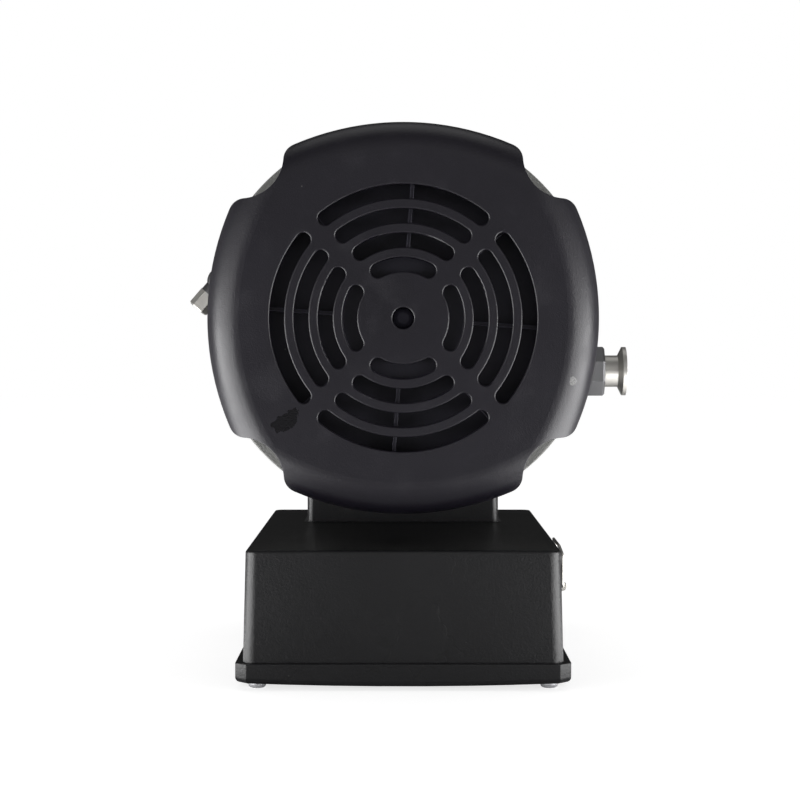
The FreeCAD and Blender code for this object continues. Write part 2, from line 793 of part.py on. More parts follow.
def make_scroll_seals():
    keep(spiral_wall("fixed_tip_seal", y_tip - seal_depth + fit, y_tip + axial_gap / 2,
                     float(seal_width), inset_ends=float(seal_width) + 0.2))
    keep(spiral_wall("orbiting_tip_seal", y_floor + axial_gap / 2, y_floor + axial_gap + seal_depth - fit,
                     float(seal_width), 180, float(orbit), float(seal_width) + 0.2))
    ring_seal = shaft_piece("scroll_o_ring")
    half = groove_width / 2 - fit
    low = groove_centre - half
    high = groove_centre + half
    ring_seal.turn((low, y_joint + fit), (high, y_joint + fit), (high, y_joint + groove_depth),
                   (low, y_joint + groove_depth))
    ring_seal.soften(0.6, lambda e: True)
    keep(ring_seal)


def make_orbiting_scroll():
    plate = shaft_piece("orbiting_scroll_plate", orbit)
    bore = eccentric_radius + fit + orbit_bearing_wall + fit
    nose = y_floor + axial_gap
    hub_end = y_orbit_back + orbit_hub_depth
    plate.turn((bore, nose), (nose_radius, nose), (nose_radius, y_orbit), (orbit_rim, y_orbit),
               (orbit_rim, y_orbit_back), (orbit_hub, y_orbit_back), (orbit_hub, hub_end), (bore, hub_end))
    rib = plate.pad("XZ_Plane", y_orbit_back, y_orbit_back + orbit_hub_depth,
                    lambda o: o.rectangle(orbit_hub - 1, -1.5, orbit_rim - 6, 1.5))
    plate.around(rib, 12)
    boss = plate.pad("XZ_Plane", y_orbit_back, y_guide_boss, lambda o: o.circle(
        guide_bearing + 3, *polar(guide_circle, guide_turn)))
    plate.around(boss, 3)
    hole = plate.pocket("XZ_Plane", y_guide_boss - guide_bearing_width - 1, y_guide_boss,
                        lambda o: o.circle(guide_bearing + fit, *polar(guide_circle, guide_turn)))
    plate.around(hole, 3)
    wrap = spiral_wall("orbiting_wrap", nose, y_orbit, float(wrap_thick), 180, float(orbit))
    groove = spiral_wall("orbiting_groove", nose - 1, nose + seal_depth,
                         float(seal_width) + 2 * float(fit), 180, float(orbit), float(seal_width))
    solid = join("MultiFuse", "orbiting_scroll_solid", plate, wrap)
    keep(join("Cut", "orbiting_scroll", solid, groove))
    keep(ring("orbit_bearing", eccentric_radius + fit, bore - fit, nose + 3, y_orbit_back, orbit))


def make_guides():
    for number in range(3):
        x, z = polar(guide_circle, guide_turn + 120 * number)
        crank = Piece(f"anti_rotation_crank_{number + 1}", x=x, z=axis_height + z)
        crank.pad("XZ_Plane", y_guide_disc, y_guide_disc + guide_disc_thick, lambda o: o.circle(guide_disc))
        crank.pad("XZ_Plane", y_guide_disc + guide_disc_thick, y_wall + guide_bearing_width - 0.5,
                  lambda o: o.circle(guide_pin))
        crank.pad("XZ_Plane", y_guide_boss - guide_bearing_width + 0.5, y_guide_disc,
                  lambda o: o.circle(guide_pin, orbit))
        keep(crank)
    for label, x, start in (("crank_bearings_fixed", as_size(0), y_wall),
                            ("crank_bearings_orbit", orbit, y_guide_boss - guide_bearing_width)):
        bearings = shaft_piece(label, x)

        def draw(outline):
            outline.circle(guide_bearing, *polar(guide_circle, guide_turn))
            outline.circle(guide_pin + guide_clearance, *polar(guide_circle, guide_turn))
        one = bearings.pad("XZ_Plane", start, start + guide_bearing_width, draw)
        bearings.around(one, 3)
        keep(bearings)


def make_crankshaft():
    shaft = shaft_piece("crankshaft")
    thread = 3
    shaft.turn((0, y_shaft_front + 14), (thread, y_shaft_front + 14), (thread, y_shaft_front),
               (fan_shaft - 0.6, y_shaft_front), (fan_shaft, y_shaft_front + 0.6), (fan_shaft, y_fan_back),
               (front_shaft, y_fan_back), (front_shaft, eccentric_end), (main_shaft, eccentric_end),
               (main_shaft, y_rear_seat), (rear_shaft, y_rear_seat), (rear_shaft, y_shaft_back - 0.6),
               (rear_shaft - 0.6, y_shaft_back), (0, y_shaft_back))
    shaft.pad("XZ_Plane", eccentric_start, eccentric_end, lambda o: o.circle(eccentric_radius, orbit))
    keep(shaft)
    for label, bore, radius, start, end in (
            ("front_counterweight", front_shaft, weight_radius, y_fan_back + 2, y_fan_back + 2 + weight_thick),
            ("rear_counterweight", main_shaft, rear_weight_radius, y_orbit_back + orbit_hub_depth + 0.5,
             y_orbit_back + orbit_hub_depth + 0.5 + rear_weight_thick)):
        weight = shaft_piece(label)
        hub = bore + 6
        weight.pad("XZ_Plane", start, end, lambda o: o.circle(hub))
        edge = root(radius * radius - weight_cut * weight_cut)
        weight.pad("XZ_Plane", start, end, lambda o: o.path((-weight_cut, edge, radius), (-weight_cut, -edge)))
        weight.pocket("XZ_Plane", start - 1, end + 1, lambda o: o.circle(bore + fit))
        keep(weight)
    screw = shaft_piece("fan_screw")
    screw.turn((0, y_fan - 3.4), (3.2, y_fan - 3.4), (5.5, y_fan - 2.4), (5.5, y_fan + 0.2), (10, y_fan + 0.2),
               (10, y_fan + 1.2), (thread - fit, y_fan + 1.2), (thread - fit, y_shaft_front + 12),
               (0, y_shaft_front + 12))
    keep(screw)


def make_bearings():
    hub_face = y_flange - hub_front
    keep(ring("front_bearing", front_shaft + fit, front_bearing_radius, hub_face,
              hub_face + front_bearing_width))
    keep(ring("front_shaft_seal", front_shaft + fit, seal_ring_radius, hub_face + front_bearing_width,
              hub_face + front_bearing_width + seal_ring_width))
    keep(ring("main_shaft_seal", main_shaft + fit, seal_ring_radius + 2, y_wall + 1,
              y_wall + 1 + seal_ring_width))
    keep(ring("main_bearing", main_shaft + fit, main_bearing_radius, y_main_seat, y_main_end))
    keep(ring("rear_bearing", rear_shaft + fit, rear_bearing_radius, y_rear_seat,
              y_rear_seat + rear_bearing_width))


def make_cooling_fan():
    fan = shaft_piece("cooling_fan")
    wall = 2.4
    bore = fan_shaft + fit
    disc_front = y_fan_back - fan_disc
    fan.turn((bore, y_fan + 1.2), (12, y_fan + 1.2), (14, y_fan), (fan_hub - 2, y_fan), (fan_hub, y_fan + 2),
             (fan_hub, disc_front), (fan_reach, disc_front), (fan_reach, y_fan_back),
             (fan_hub - wall, y_fan_back), (fan_hub - wall, y_fan + wall + 1), (14, y_fan + wall + 1),
             (14, y_fan_back), (bore, y_fan_back))
    blade = fan.pad("XZ_Plane", y_fan + 1, disc_front, lambda o: o.rectangle(
        fan_hub - 1, -(blade_thick / 2), fan_reach, blade_thick / 2))
    fan.around(blade, fan_blades)
    turn_about_shaft(fan, fan_turn)
    keep(fan)


# Turns a body about the shaft axis, with its angle from the sheet
def turn_about_shaft(piece, angle):
    place = V(0, 0, float(axis_height))
    piece.body.Placement = FreeCAD.Placement(place, FreeCAD.Rotation(V(0, 1, 0), float(angle)))
    piece.body.setExpression("Placement.Rotation.Angle", angle.text)


def make_main_housing():
    housing = shaft_piece("main_housing")
    seal_bore = seal_ring_radius + 2 + fit
    bearing_bore = main_bearing_radius + fit
    hub = bearing_bore + 8
    shell = chamber_radius + housing_shell
    lantern_bore = lantern_radius - lantern_wall
    housing.turn(
        (chamber_radius, y_joint), (flange_radius, y_joint), (flange_radius, y_joint + housing_flange),
        (shell, y_joint + housing_flange), (shell, y_wall_back), (lantern_radius, y_wall_back),
        (lantern_radius, y_motor - housing_flange), (motor_flange, y_motor - housing_flange),
        (motor_flange, y_motor), (lantern_bore, y_motor), (lantern_bore, y_wall_back), (hub, y_wall_back),
        (hub, y_main_end + 1), (bearing_bore, y_main_end + 1), (bearing_bore, y_main_seat),
        (seal_bore, y_main_seat), (seal_bore, y_wall + 1), (main_shaft + 2, y_wall + 1),
        (main_shaft + 2, y_wall), (chamber_radius, y_wall))
    housing.soften(5, lambda e: abs(e.BoundBox.XMax - float(shell)) < 0.01
                   and abs(e.BoundBox.YMin - float(y_wall_back)) < 0.01 and e.BoundBox.YLength < 0.01)
    half = inlet_boss * 0.8
    housing.pad("XY_Plane", lantern_radius - 4, inlet_boss_top, lambda o: o.circle(inlet_boss, 0, y_inlet))
    housing.pad("XY_Plane", lantern_radius - 4, inlet_boss_top, lambda o: o.rectangle(
        -half, y_wall_back - 2, half, y_inlet))
    housing.pad("YZ_Plane", chamber_radius - 8, boss_reach, lambda o: o.circle(
        exhaust_boss, y_exhaust, -exhaust_drop))
    across, drop = exhaust_link()
    housing.pad("XZ_Plane", y_joint + housing_flange - 1, y_exhaust, lambda o: o.rectangle(
        chamber_radius - 4, drop - 6, boss_reach - 2, drop + 6))
    housing.pad("YZ_Plane", -(lantern_radius + 6), -(lantern_bore - 2) - 6, lambda o: o.circle(
        purge_thread + 5, y_purge, purge_height))
    housing.turn((0, y_joint - 1), (chamber_radius, y_joint - 1), (chamber_radius, y_wall), (0, y_wall),
                 kind="Groove")
    low = groove_centre - groove_width / 2
    high = groove_centre + groove_width / 2
    housing.turn((low, y_joint - 1), (high, y_joint - 1), (high, y_joint + groove_depth),
                 (low, y_joint + groove_depth), kind="Groove")
    housing.pocket("XY_Plane", lantern_radius + 1, inlet_boss_top + 1, lambda o: o.circle(
        inlet_thread, 0, y_inlet))
    housing.pocket("XZ_Plane", y_wall - 1, y_inlet, lambda o: o.circle(9, 0, lantern_radius + 11))
    housing.pocket("YZ_Plane", chamber_radius + 2, boss_reach + 1, lambda o: o.circle(
        exhaust_thread, y_exhaust, -exhaust_drop))
    housing.pocket("XZ_Plane", y_joint - 1, y_exhaust, lambda o: o.circle(exhaust_hole, across, drop))
    housing.pocket("YZ_Plane", -(lantern_radius + 7), -(lantern_bore - 12), lambda o: o.circle(
        purge_thread, y_purge, purge_height))
    bolt = housing.pocket("XZ_Plane", y_joint - 1, y_joint + housing_flange + 1, lambda o: o.circle(
        bolt_size + fit * 3, *polar(housing_bolt_circle, housing_bolt_turn)))
    housing.around(bolt, housing_bolt_count)
    flange_back = y_joint + housing_flange
    spot_face = housing.pocket("XZ_Plane", flange_back, flange_back + bolt_head_height + 1, lambda o: o.circle(
        bolt_head + running, *polar(housing_bolt_circle, housing_bolt_turn)))
    housing.around(spot_face, housing_bolt_count)
    motor_bolt = housing.pocket("XZ_Plane", y_motor - housing_flange - 1, y_motor + 1, lambda o: o.circle(
        bolt_size + fit * 3, *polar(motor_bolt_circle, 45)))
    housing.around(motor_bolt, 4)
    guide = housing.pocket("XZ_Plane", y_wall - 1, y_wall + guide_bearing_width, lambda o: o.circle(
        guide_bearing + fit, *polar(guide_circle, guide_turn)))
    housing.around(guide, 3)
    keep(housing)


# Where the exhaust passage crosses the joint face
def exhaust_link():
    return polar(housing_bolt_circle, -float(exhaust_turn))


# Hexagon-socket bolts along Y: the head's underside lies at seat and the head reaches away from the tip
def bolts_along_y(label, radius, turn, count, seat, head_end, tip, shank=None, head=None):
    bolts = shaft_piece(label)
    shank = bolt_size if shank is None else shank
    head = shank * 1.7 if head is None else head
    x, z = polar(radius, turn)
    low, high = (seat, head_end) if float(head_end) > float(seat) else (head_end, seat)
    cap = bolts.pad("XZ_Plane", low, high, lambda o: o.circle(head, x, z))
    low, high = (tip, seat) if float(tip) < float(seat) else (seat, tip)
    pin = bolts.pad("XZ_Plane", low, high, lambda o: o.circle(shank, x, z))
    bolts.around([cap, pin], count)
    keep(bolts)


def make_bolts():
    bolts_along_y("housing_bolts", housing_bolt_circle, housing_bolt_turn, housing_bolt_count,
                  y_joint + housing_flange, y_joint + housing_flange + bolt_head_height,
                  y_joint - bolt_grip + 1, head=bolt_head)
    bolts_along_y("motor_bolts", motor_bolt_circle, 45, 4, y_motor + motor_flange_thick,
                  y_motor + motor_flange_thick + bolt_head_height, y_motor - housing_flange + 1, head=bolt_head)
    bolts_along_y("bell_screws", bell_screw_circle, bell_screw_turn, bell_screw_count, y_cowl, y_cowl + 2.5,
                  y_bell - 8, screw_size)


# Each KF port is a tube with a lipped flange that has a cone behind it, and a recess for the centring ring
def make_ports():
    inlet = Piece("inlet_port", y=y_inlet, z=axis_height)
    inlet.body.Placement = FreeCAD.Placement(inlet.body.Placement.Base, FreeCAD.Rotation(V(1, 0, 0), 90))
    spigot = inlet_thread - fit
    face = inlet_height
    inlet.turn((large_bore, lantern_radius + 8), (spigot, lantern_radius + 8), (spigot, inlet_boss_top),
               (large_tube + 3.5, inlet_boss_top), (large_tube + 3.5, inlet_boss_top + 1.5),
               (large_tube, inlet_boss_top + 1.5), (large_tube, face - flange_lip - flange_cone),
               (large_flange, face - flange_lip + 0.6), (large_flange, face), (large_bore + 0.6, face),
               (large_bore + 0.6, face - 3), (large_bore, face - 3))
    keep(inlet)
    adapter = Piece("exhaust_adapter", y=y_exhaust, z=axis_height - exhaust_drop)
    spigot = exhaust_thread - fit
    adapter_end = port_reach - tube_length
    adapter.pad("YZ_Plane", boss_reach, adapter_end, lambda o: o.path(*octagon_points(adapter_width)))
    adapter.pad("YZ_Plane", boss_reach - 7, boss_reach, lambda o: o.circle(spigot))
    adapter.soften(1.2, lambda e: abs(e.BoundBox.XMin - float(adapter_end)) < 0.01, "Chamfer")
    adapter.pocket("YZ_Plane", boss_reach - 8, adapter_end + 1, lambda o: o.circle(small_bore - 1.5))
    adapter.pocket("YZ_Plane", adapter_end - 6, adapter_end + 1, lambda o: o.circle(small_bore + 1 + fit))
    keep(adapter)
    port = Piece("exhaust_port", y=y_exhaust, z=axis_height - exhaust_drop)
    port.body.Placement = FreeCAD.Placement(port.body.Placement.Base, FreeCAD.Rotation(V(0, 0, 1), -90))
    face = port_reach
    port.turn((small_bore, adapter_end - 6), (small_bore + 1, adapter_end - 6), (small_bore + 1, adapter_end),
              (small_tube, adapter_end), (small_tube, face - flange_lip - flange_cone),
              (small_flange, face - flange_lip + 0.6), (small_flange, face), (small_bore + 0.6, face),
              (small_bore + 0.6, face - 3), (small_bore, face - 3))
    keep(port)


# Corners of a regular octagon of the given half width, flat sides up and across
def octagon_points(half):
    short = half * math.tan(math.radians(22.5))
    return [(half, -short), (half, short), (short, half), (-short, half),
            (-half, short), (-half, -short), (-short, -half), (short, -half)]


def hexagon_points(half):
    reach = half / math.cos(math.radians(30))
    return [polar(reach, 60 * number) for number in range(6)]


# Purge fitting: a dark elbow out of the housing, turned down, with a hexagon cap
def make_purge():
    level = axis_height + purge_height
    elbow = Piece("purge_elbow_stem", y=y_purge, z=level)
    seat = lantern_radius + 6
    elbow.pad("YZ_Plane", -purge_reach, -seat, lambda o: o.circle(purge_body))
    elbow.pad("YZ_Plane", -(seat + 12), -seat, lambda o: o.path(*hexagon_points(purge_body + 2.5)))
    elbow.pad("YZ_Plane", -purge_reach, -(purge_reach - 9), lambda o: o.circle(bend_radius))
    elbow.pad("YZ_Plane", -seat, -(seat - 8), lambda o: o.circle(purge_thread - fit))
    elbow.pocket("YZ_Plane", -(purge_reach - 10), -(seat - 9), lambda o: o.circle(2))
    bend = document.addObject("Part::Sphere", "purge_bend")
    bend.setExpression("Radius", bend_radius.text)
    arm = document.addObject("Part::Cylinder", "purge_arm")
    arm.setExpression("Radius", (purge_body - 0.4).text)
    arm.setExpression("Height", bend_arm.text)
    spot = V(-float(purge_reach), float(y_purge), float(level))
    down = FreeCAD.Rotation(V(0, 0, 1), V(-math.cos(math.radians(float(cap_turn))), 0,
                                          -math.sin(math.radians(float(cap_turn)))))
    for shape in (bend, arm):
        shape.Placement = FreeCAD.Placement(spot, down)
    keep(join("MultiFuse", "purge_elbow", elbow, bend, arm))
    cap = Piece("purge_cap", x=-purge_reach, y=y_purge, z=level)
    cap.pad("XY_Plane", bend_arm, bend_arm + cap_length, lambda o: o.path(*hexagon_points(cap_half)))
    cap.soften(0.8, lambda e: e.BoundBox.ZMin > float(bend_arm + cap_length) - 0.01, "Chamfer")
    cap.body.Placement = FreeCAD.Placement(spot, down)
    keep(cap)


def make_motor():
    casing = shaft_piece("motor_housing")
    bore = motor_radius - motor_wall
    casing.turn((bore, y_motor), (motor_flange, y_motor), (motor_flange, y_motor + motor_flange_thick),
                (motor_radius, y_motor + motor_flange_thick), (motor_radius, y_bell), (bore, y_bell))
    fin_start = y_motor + motor_flange_thick - 1
    reach = motor_radius + motor_fin
    fin = casing.pad("XZ_Plane", fin_start, y_bell - 3, lambda o: o.path(
        *[turned_by(point, -15) for point in ((motor_radius - 1, -1.6), (reach, -1), (reach, 1),
                                             (motor_radius - 1, 1.6))]))
    fins = casing.feature("PolarPattern")
    fins.Originals = [fin]
    fins.Axis = (next(f for f in casing.body.Origin.OriginFeatures if f.Role == "Y_Axis"), [""])
    fins.Angle = 210
    fins.Reversed = True
    fins.Occurrences = 15
    casing.body.Tip = fins
    document.recompute()
    bolt = casing.pocket("XZ_Plane", y_motor - 1, y_motor + motor_flange_thick + 40, lambda o: o.circle(
        bolt_size + fit * 3, *polar(motor_bolt_circle, 45)))
    casing.around(bolt, 4)
    screw = casing.pocket("XZ_Plane", y_bell - 9, y_bell + 1, lambda o: o.circle(
        screw_size + fit, *polar(bell_screw_circle, bell_screw_turn)))
    casing.around(screw, bell_screw_count)
    keep(casing)
    core = shaft_piece("stator_core")
    outer = bore - fit

    def laminations(outline):
        outline.circle(outer)
        outline.circle(stator_bore)
    core.pad("XZ_Plane", core_start, core_end, laminations)
    slot = core.pocket("XZ_Plane", core_start - 1, core_end + 1, lambda o: o.rectangle(
        stator_bore + 3, -4.5, outer - 6, 4.5))
    core.around(slot, 12)
    keep(core)
    coils = shaft_piece("stator_windings")
    low = stator_bore + 3 + fit
    high = outer - 6 - fit
    for start, end in ((core_start - 11, core_start - 0.3), (core_end + 0.3, core_end + 11)):
        coils.turn((low, start + 3), (low + 3, start), (high - 3, start), (high, start + 3), (high, end - 3),
                   (high, end), (low, end))
    bar = coils.pad("XZ_Plane", core_start - 1, core_end + 1, lambda o: o.rectangle(
        low, -(4.5 - fit), high, 4.5 - fit))
    coils.around(bar, 12)
    keep(coils)
    keep(ring("rotor_core", main_shaft + fit / 2, stator_bore - rotor_gap, core_start - 4, core_end + 4))


def turned_by(point, degrees):
    turn = math.radians(degrees)
    x, y = as_size(point[0]), as_size(point[1])
    return (x * math.cos(turn) - y * math.sin(turn), x * math.sin(turn) + y * math.cos(turn))


def make_rear_end():
    bell = shaft_piece("rear_bell")
    bore = rear_bearing_radius + fit
    spigot = motor_radius - motor_wall - fit
    rim = cowl_radius - cowl_wall - seat_gap
    bell.turn((bore, y_rear_seat - 1), (bore + 5, y_rear_seat - 1), (bore + 5, y_bell),
              (spigot - 6, y_bell), (spigot - 6, y_bell - 3), (spigot, y_bell - 3), (spigot, y_bell),
              (rim, y_bell), (rim, y_cowl), (rear_shaft + 3, y_cowl), (rear_shaft + 3, y_cowl - 3),
              (bore, y_cowl - 3))
    hole = bell.pocket("XZ_Plane", y_bell - 4, y_cowl + 1, lambda o: o.circle(
        screw_size + fit * 3, *polar(bell_screw_circle, bell_screw_turn)))
    bell.around(hole, bell_screw_count)
    side_hole = bell.pocket("YZ_Plane", rim - 6, rim + 1, lambda o: o.circle(
        screw_size + fit, (y_bell + y_cowl) / 2))
    bell.around(side_hole, 4)
    keep(bell)
    fan = shaft_piece("rear_fan")
    start = y_cowl + 5
    end = y_shaft_back - 1
    inner = rear_shaft + fit
    reach = rim - 16
    fan.turn((inner, start), (reach, start), (reach, start + 2), (inner + 6, start + 2), (inner + 6, end),
             (inner, end))
    blade = fan.pad("XZ_Plane", start + 1, end, lambda o: o.rectangle(inner + 5, -0.9, reach, 0.9))
    fan.around(blade, 8)
    keep(fan)
    cowl = shaft_piece("rear_cowl")
    inside = cowl_radius - cowl_wall
    edge = cowl_edge
    cowl.turn((inside, y_bell + 1), (cowl_radius, y_bell + 1), (cowl_radius, y_back - edge, edge),
              (cowl_radius - edge, y_back), (0, y_back), (0, y_back - cowl_wall),
              (cowl_radius - edge, y_back - cowl_wall, -(edge - cowl_wall)), (inside, y_back - edge))
    slot = cowl.pocket("XZ_Plane", y_back - cowl_wall - 1, y_back + 1, lambda o: o.rectangle(20, -2, 58, 2))
    cowl.around(slot, 24)
    hole = cowl.pocket("YZ_Plane", inside - 2, cowl_radius + 1, lambda o: o.circle(
        screw_size + fit * 3, (y_bell + y_cowl) / 2))
    cowl.around(hole, 4)
    keep(cowl)
    screws = shaft_piece("cowl_screws")
    made = screw_along(screws, "YZ_Plane", cowl_radius, cowl_radius + 1.8, rim - 5, screw_head, screw_size,
                       (y_bell + y_cowl) / 2)
    screws.around(made, 4)
    keep(screws)


def make_pedestal():
    post = Piece("pedestal")
    half = pedestal_width / 2
    flare = pedestal_flare
    foot = half + flare
    post.pad("XZ_Plane", y_pedestal, y_pedestal_end, lambda o: o.path(
        (-foot, base_top), (foot, base_top, -flare), (half, base_top + flare), (half, pedestal_top),
        (-half, pedestal_top), (-half, base_top + flare, -flare)))
    post.soften(4, lambda e: e.BoundBox.ZLength > 30 and e.BoundBox.XLength < 0.01)
    saddle = motor_radius + seat_gap
    post.pocket("XZ_Plane", y_motor + motor_flange_thick - 1, y_pedestal_end + 1, lambda o: o.circle(
        saddle, 0, axis_height))
    post.pocket("XZ_Plane", y_pedestal - 1, y_motor + motor_flange_thick + bolt_head_height + 1,
                lambda o: o.circle(motor_flange + seat_gap, 0, axis_height))
    wall = pedestal_wall
    post.pocket("XY_Plane", base_top - 1, pedestal_roof, lambda o: o.rectangle(
        -(half - wall), y_pedestal + wall, half - wall, y_pedestal_end - wall))
    for kind, low, high, bore in (("Pad", base_top, pedestal_roof, 6), ("Pocket", base_top - 1, base_top + 12,
                                                                      screw_size + fit)):
        make = post.pad if kind == "Pad" else post.pocket
        for x in (-pedestal_screw_x, pedestal_screw_x):
            for y in pedestal_screw_rows():
                make("XY_Plane", low, high, lambda o: o.circle(bore, x, y))
    keep(post)


def pedestal_screw_rows():
    inset = pedestal_wall + 4.5
    return y_pedestal + inset, y_pedestal_end - inset


# How far the cover's foot stands out from its top edge, by the draft
def base_lean():
    return (base_top - tray_top) * math.tan(math.radians(float(base_draft)))


# Radius of the tray's bowed underside
def tray_bow():
    wide = base_width / 2 + base_lean() + tray_lip
    sag = tray_edge - tray_crown
    return (wide * wide + sag * sag) / (sag * 2)


# Height of the tray's inner floor at a distance from the middle
def tray_floor_at(across):
    bow = tray_bow()
    inner = tray_inside()
    return (tray_edge + tray_floor + root(bow * bow - inner * inner) - root(bow * bow - as_size(across) * across)
            + seat_gap)


def tray_inside():
    return base_width / 2 + base_lean() - base_wall - 1


def make_base():
    box = Piece("base_box")
    lean = base_lean()
    half = base_width / 2
    box.pad("XY_Plane", tray_top, base_top, lambda o: o.rectangle(
        -(half + lean), y_base - lean, half + lean, y_base + base_length + lean), -base_draft)
    box.soften(base_corner, lambda e: e.BoundBox.ZLength > 20)
    box.soften(1.5, lambda e: e.BoundBox.ZMin > float(base_top) - 0.01)
    wall = base_wall
    box.pocket("XY_Plane", tray_top, base_top - wall, lambda o: o.rectangle(
        -(half + lean - wall), y_base - lean + wall, half + lean - wall, y_base + base_length + lean - wall),
        -base_draft)
    box.soften(base_corner - wall, lambda e: e.BoundBox.ZLength > 20
               and float(half - wall) - 0.1 < abs(e.BoundBox.Center.x) < float(half + lean - wall))
    rows = tray_screw_rows()
    for x in (-tray_screw_x, tray_screw_x):
        for y in rows:
            box.pad("XY_Plane", tray_top, tray_top + 22, lambda o: o.circle(5, x, y))
            box.pocket("XY_Plane", tray_top, tray_top + 12, lambda o: o.circle(screw_size + fit, x, y))
    for x in (-pedestal_screw_x, pedestal_screw_x):
        for y in pedestal_screw_rows():
            box.pocket("XY_Plane", base_top - wall - 1, base_top + 1, lambda o: o.circle(
                screw_size + fit * 4, x, y))
    panel = panel_x()
    box.pocket("YZ_Plane", panel, half + lean + 1, lambda o: o.rectangle(
        y_socket - 32, socket_height - 16, y_remote + 32, socket_height + 16))
    through = panel - wall - 3
    box.pocket("YZ_Plane", through, panel + 1, lambda o: o.rectangle(
        y_socket - socket_body_y - fit * 4, socket_height - socket_body_z - fit * 4,
        y_socket + socket_body_y + fit * 4, socket_height + socket_body_z + fit * 4))
    box.pocket("YZ_Plane", through, panel + 1, lambda o: o.rectangle(
        y_switch - switch_y - fit * 4, socket_height - switch_z - fit * 4,
        y_switch + switch_y + fit * 4, socket_height + switch_z + fit * 4))
    box.pocket("YZ_Plane", through, panel + 1, lambda o: o.rectangle(
        y_remote - 19.8, socket_height - 5, y_remote + 19.8, socket_height + 5))
    for y in (y_socket - ear_spacing / 2, y_socket + ear_spacing / 2):
        box.pocket("YZ_Plane", through, panel + 1, lambda o: o.circle(1.6, y, socket_height))
    for y in (y_remote - 23.5, y_remote + 23.5):
        box.pocket("YZ_Plane", through, panel + 1, lambda o: o.circle(1.6, y, socket_height))
    keep(box)
    tray = Piece("base_tray")
    wide = half + lean + tray_lip
    front = y_base - lean - tray_lip + tray_trim
    back = y_base + base_length + lean + tray_lip - tray_trim
    bow = tray_bow()
    tray.pad("XZ_Plane", front, back, lambda o: o.path(
        (-wide, tray_edge, bow), (wide, tray_edge), (wide, tray_top), (-wide, tray_top)))
    tray.soften(tray_corner, lambda e: e.BoundBox.ZLength > 5 and e.BoundBox.XLength < 0.01, "Chamfer")
    tray.soften(tray_round, lambda e: e.BoundBox.ZMax < float(tray_edge) + 0.01)
    inner = tray_inside()
    tray.pocket("XZ_Plane", y_base + wall + 1, y_base + base_length - wall - 1, lambda o: o.path(
        (-inner, tray_edge + tray_floor, bow), (inner, tray_edge + tray_floor), (inner, tray_top + 1),
        (-inner, tray_top + 1)))
    for x, y in foot_places():
        tray.pad("XY_Plane", foot_seat, tray_edge + 1, lambda o: o.circle(foot_radius + 1, x, y))
    for x, y in foot_places():
        tray.pocket("XY_Plane", foot_seat - 1, tray_edge + 6, lambda o: o.circle(2 + fit, x, y))
    for x in (-tray_screw_x, tray_screw_x):
        for y in rows:
            tray.pad("XY_Plane", tray_edge + 1, tray_top, lambda o: o.circle(7, x, y))
            tray.pocket("XY_Plane", tray_crown, tray_top + 1, lambda o: o.circle(screw_size + fit * 3, x, y))
            tray.pocket("XY_Plane", tray_crown - 1, tray_edge + 2.4, lambda o: o.circle(4.2, x, y))
    keep(tray)
    screws = Piece("tray_screws")
    for x in (-tray_screw_x, tray_screw_x):
        for y in rows:
            screw_along(screws, "XY_Plane", tray_edge + 2.4, tray_edge - 0.2, tray_top + 10, 4, screw_size,
                        x, y)
    keep(screws)
    feet = Piece("feet")
    for x, y in foot_places():
        feet.pad("XY_Plane", 0, foot_seat, lambda o: o.circle(foot_radius, x, y))
        feet.pad("XY_Plane", foot_seat, tray_edge + 5, lambda o: o.circle(2, x, y))
    feet.soften(foot_round, lambda e: e.BoundBox.ZMax < 0.01)
    keep(feet)
    screws = Piece("pedestal_screws")
    for x in (-pedestal_screw_x, pedestal_screw_x):
        for y in pedestal_screw_rows():
            screw_along(screws, "XY_Plane", base_top - wall, base_top - wall - 2.5, base_top + 10, 3.8,
                        screw_size, x, y)
    keep(screws)


def tray_screw_rows():
    return y_base + 34, base_middle, y_base + base_length - 34


def foot_places():
    x = base_width / 2 + tray_lip + 1.5 - foot_inset
    return [(side * x, y) for side in (-1, 1) for y in (y_base + 10.5, y_base + base_length - 10.5)]


def panel_x():
    return base_width / 2 - panel_step


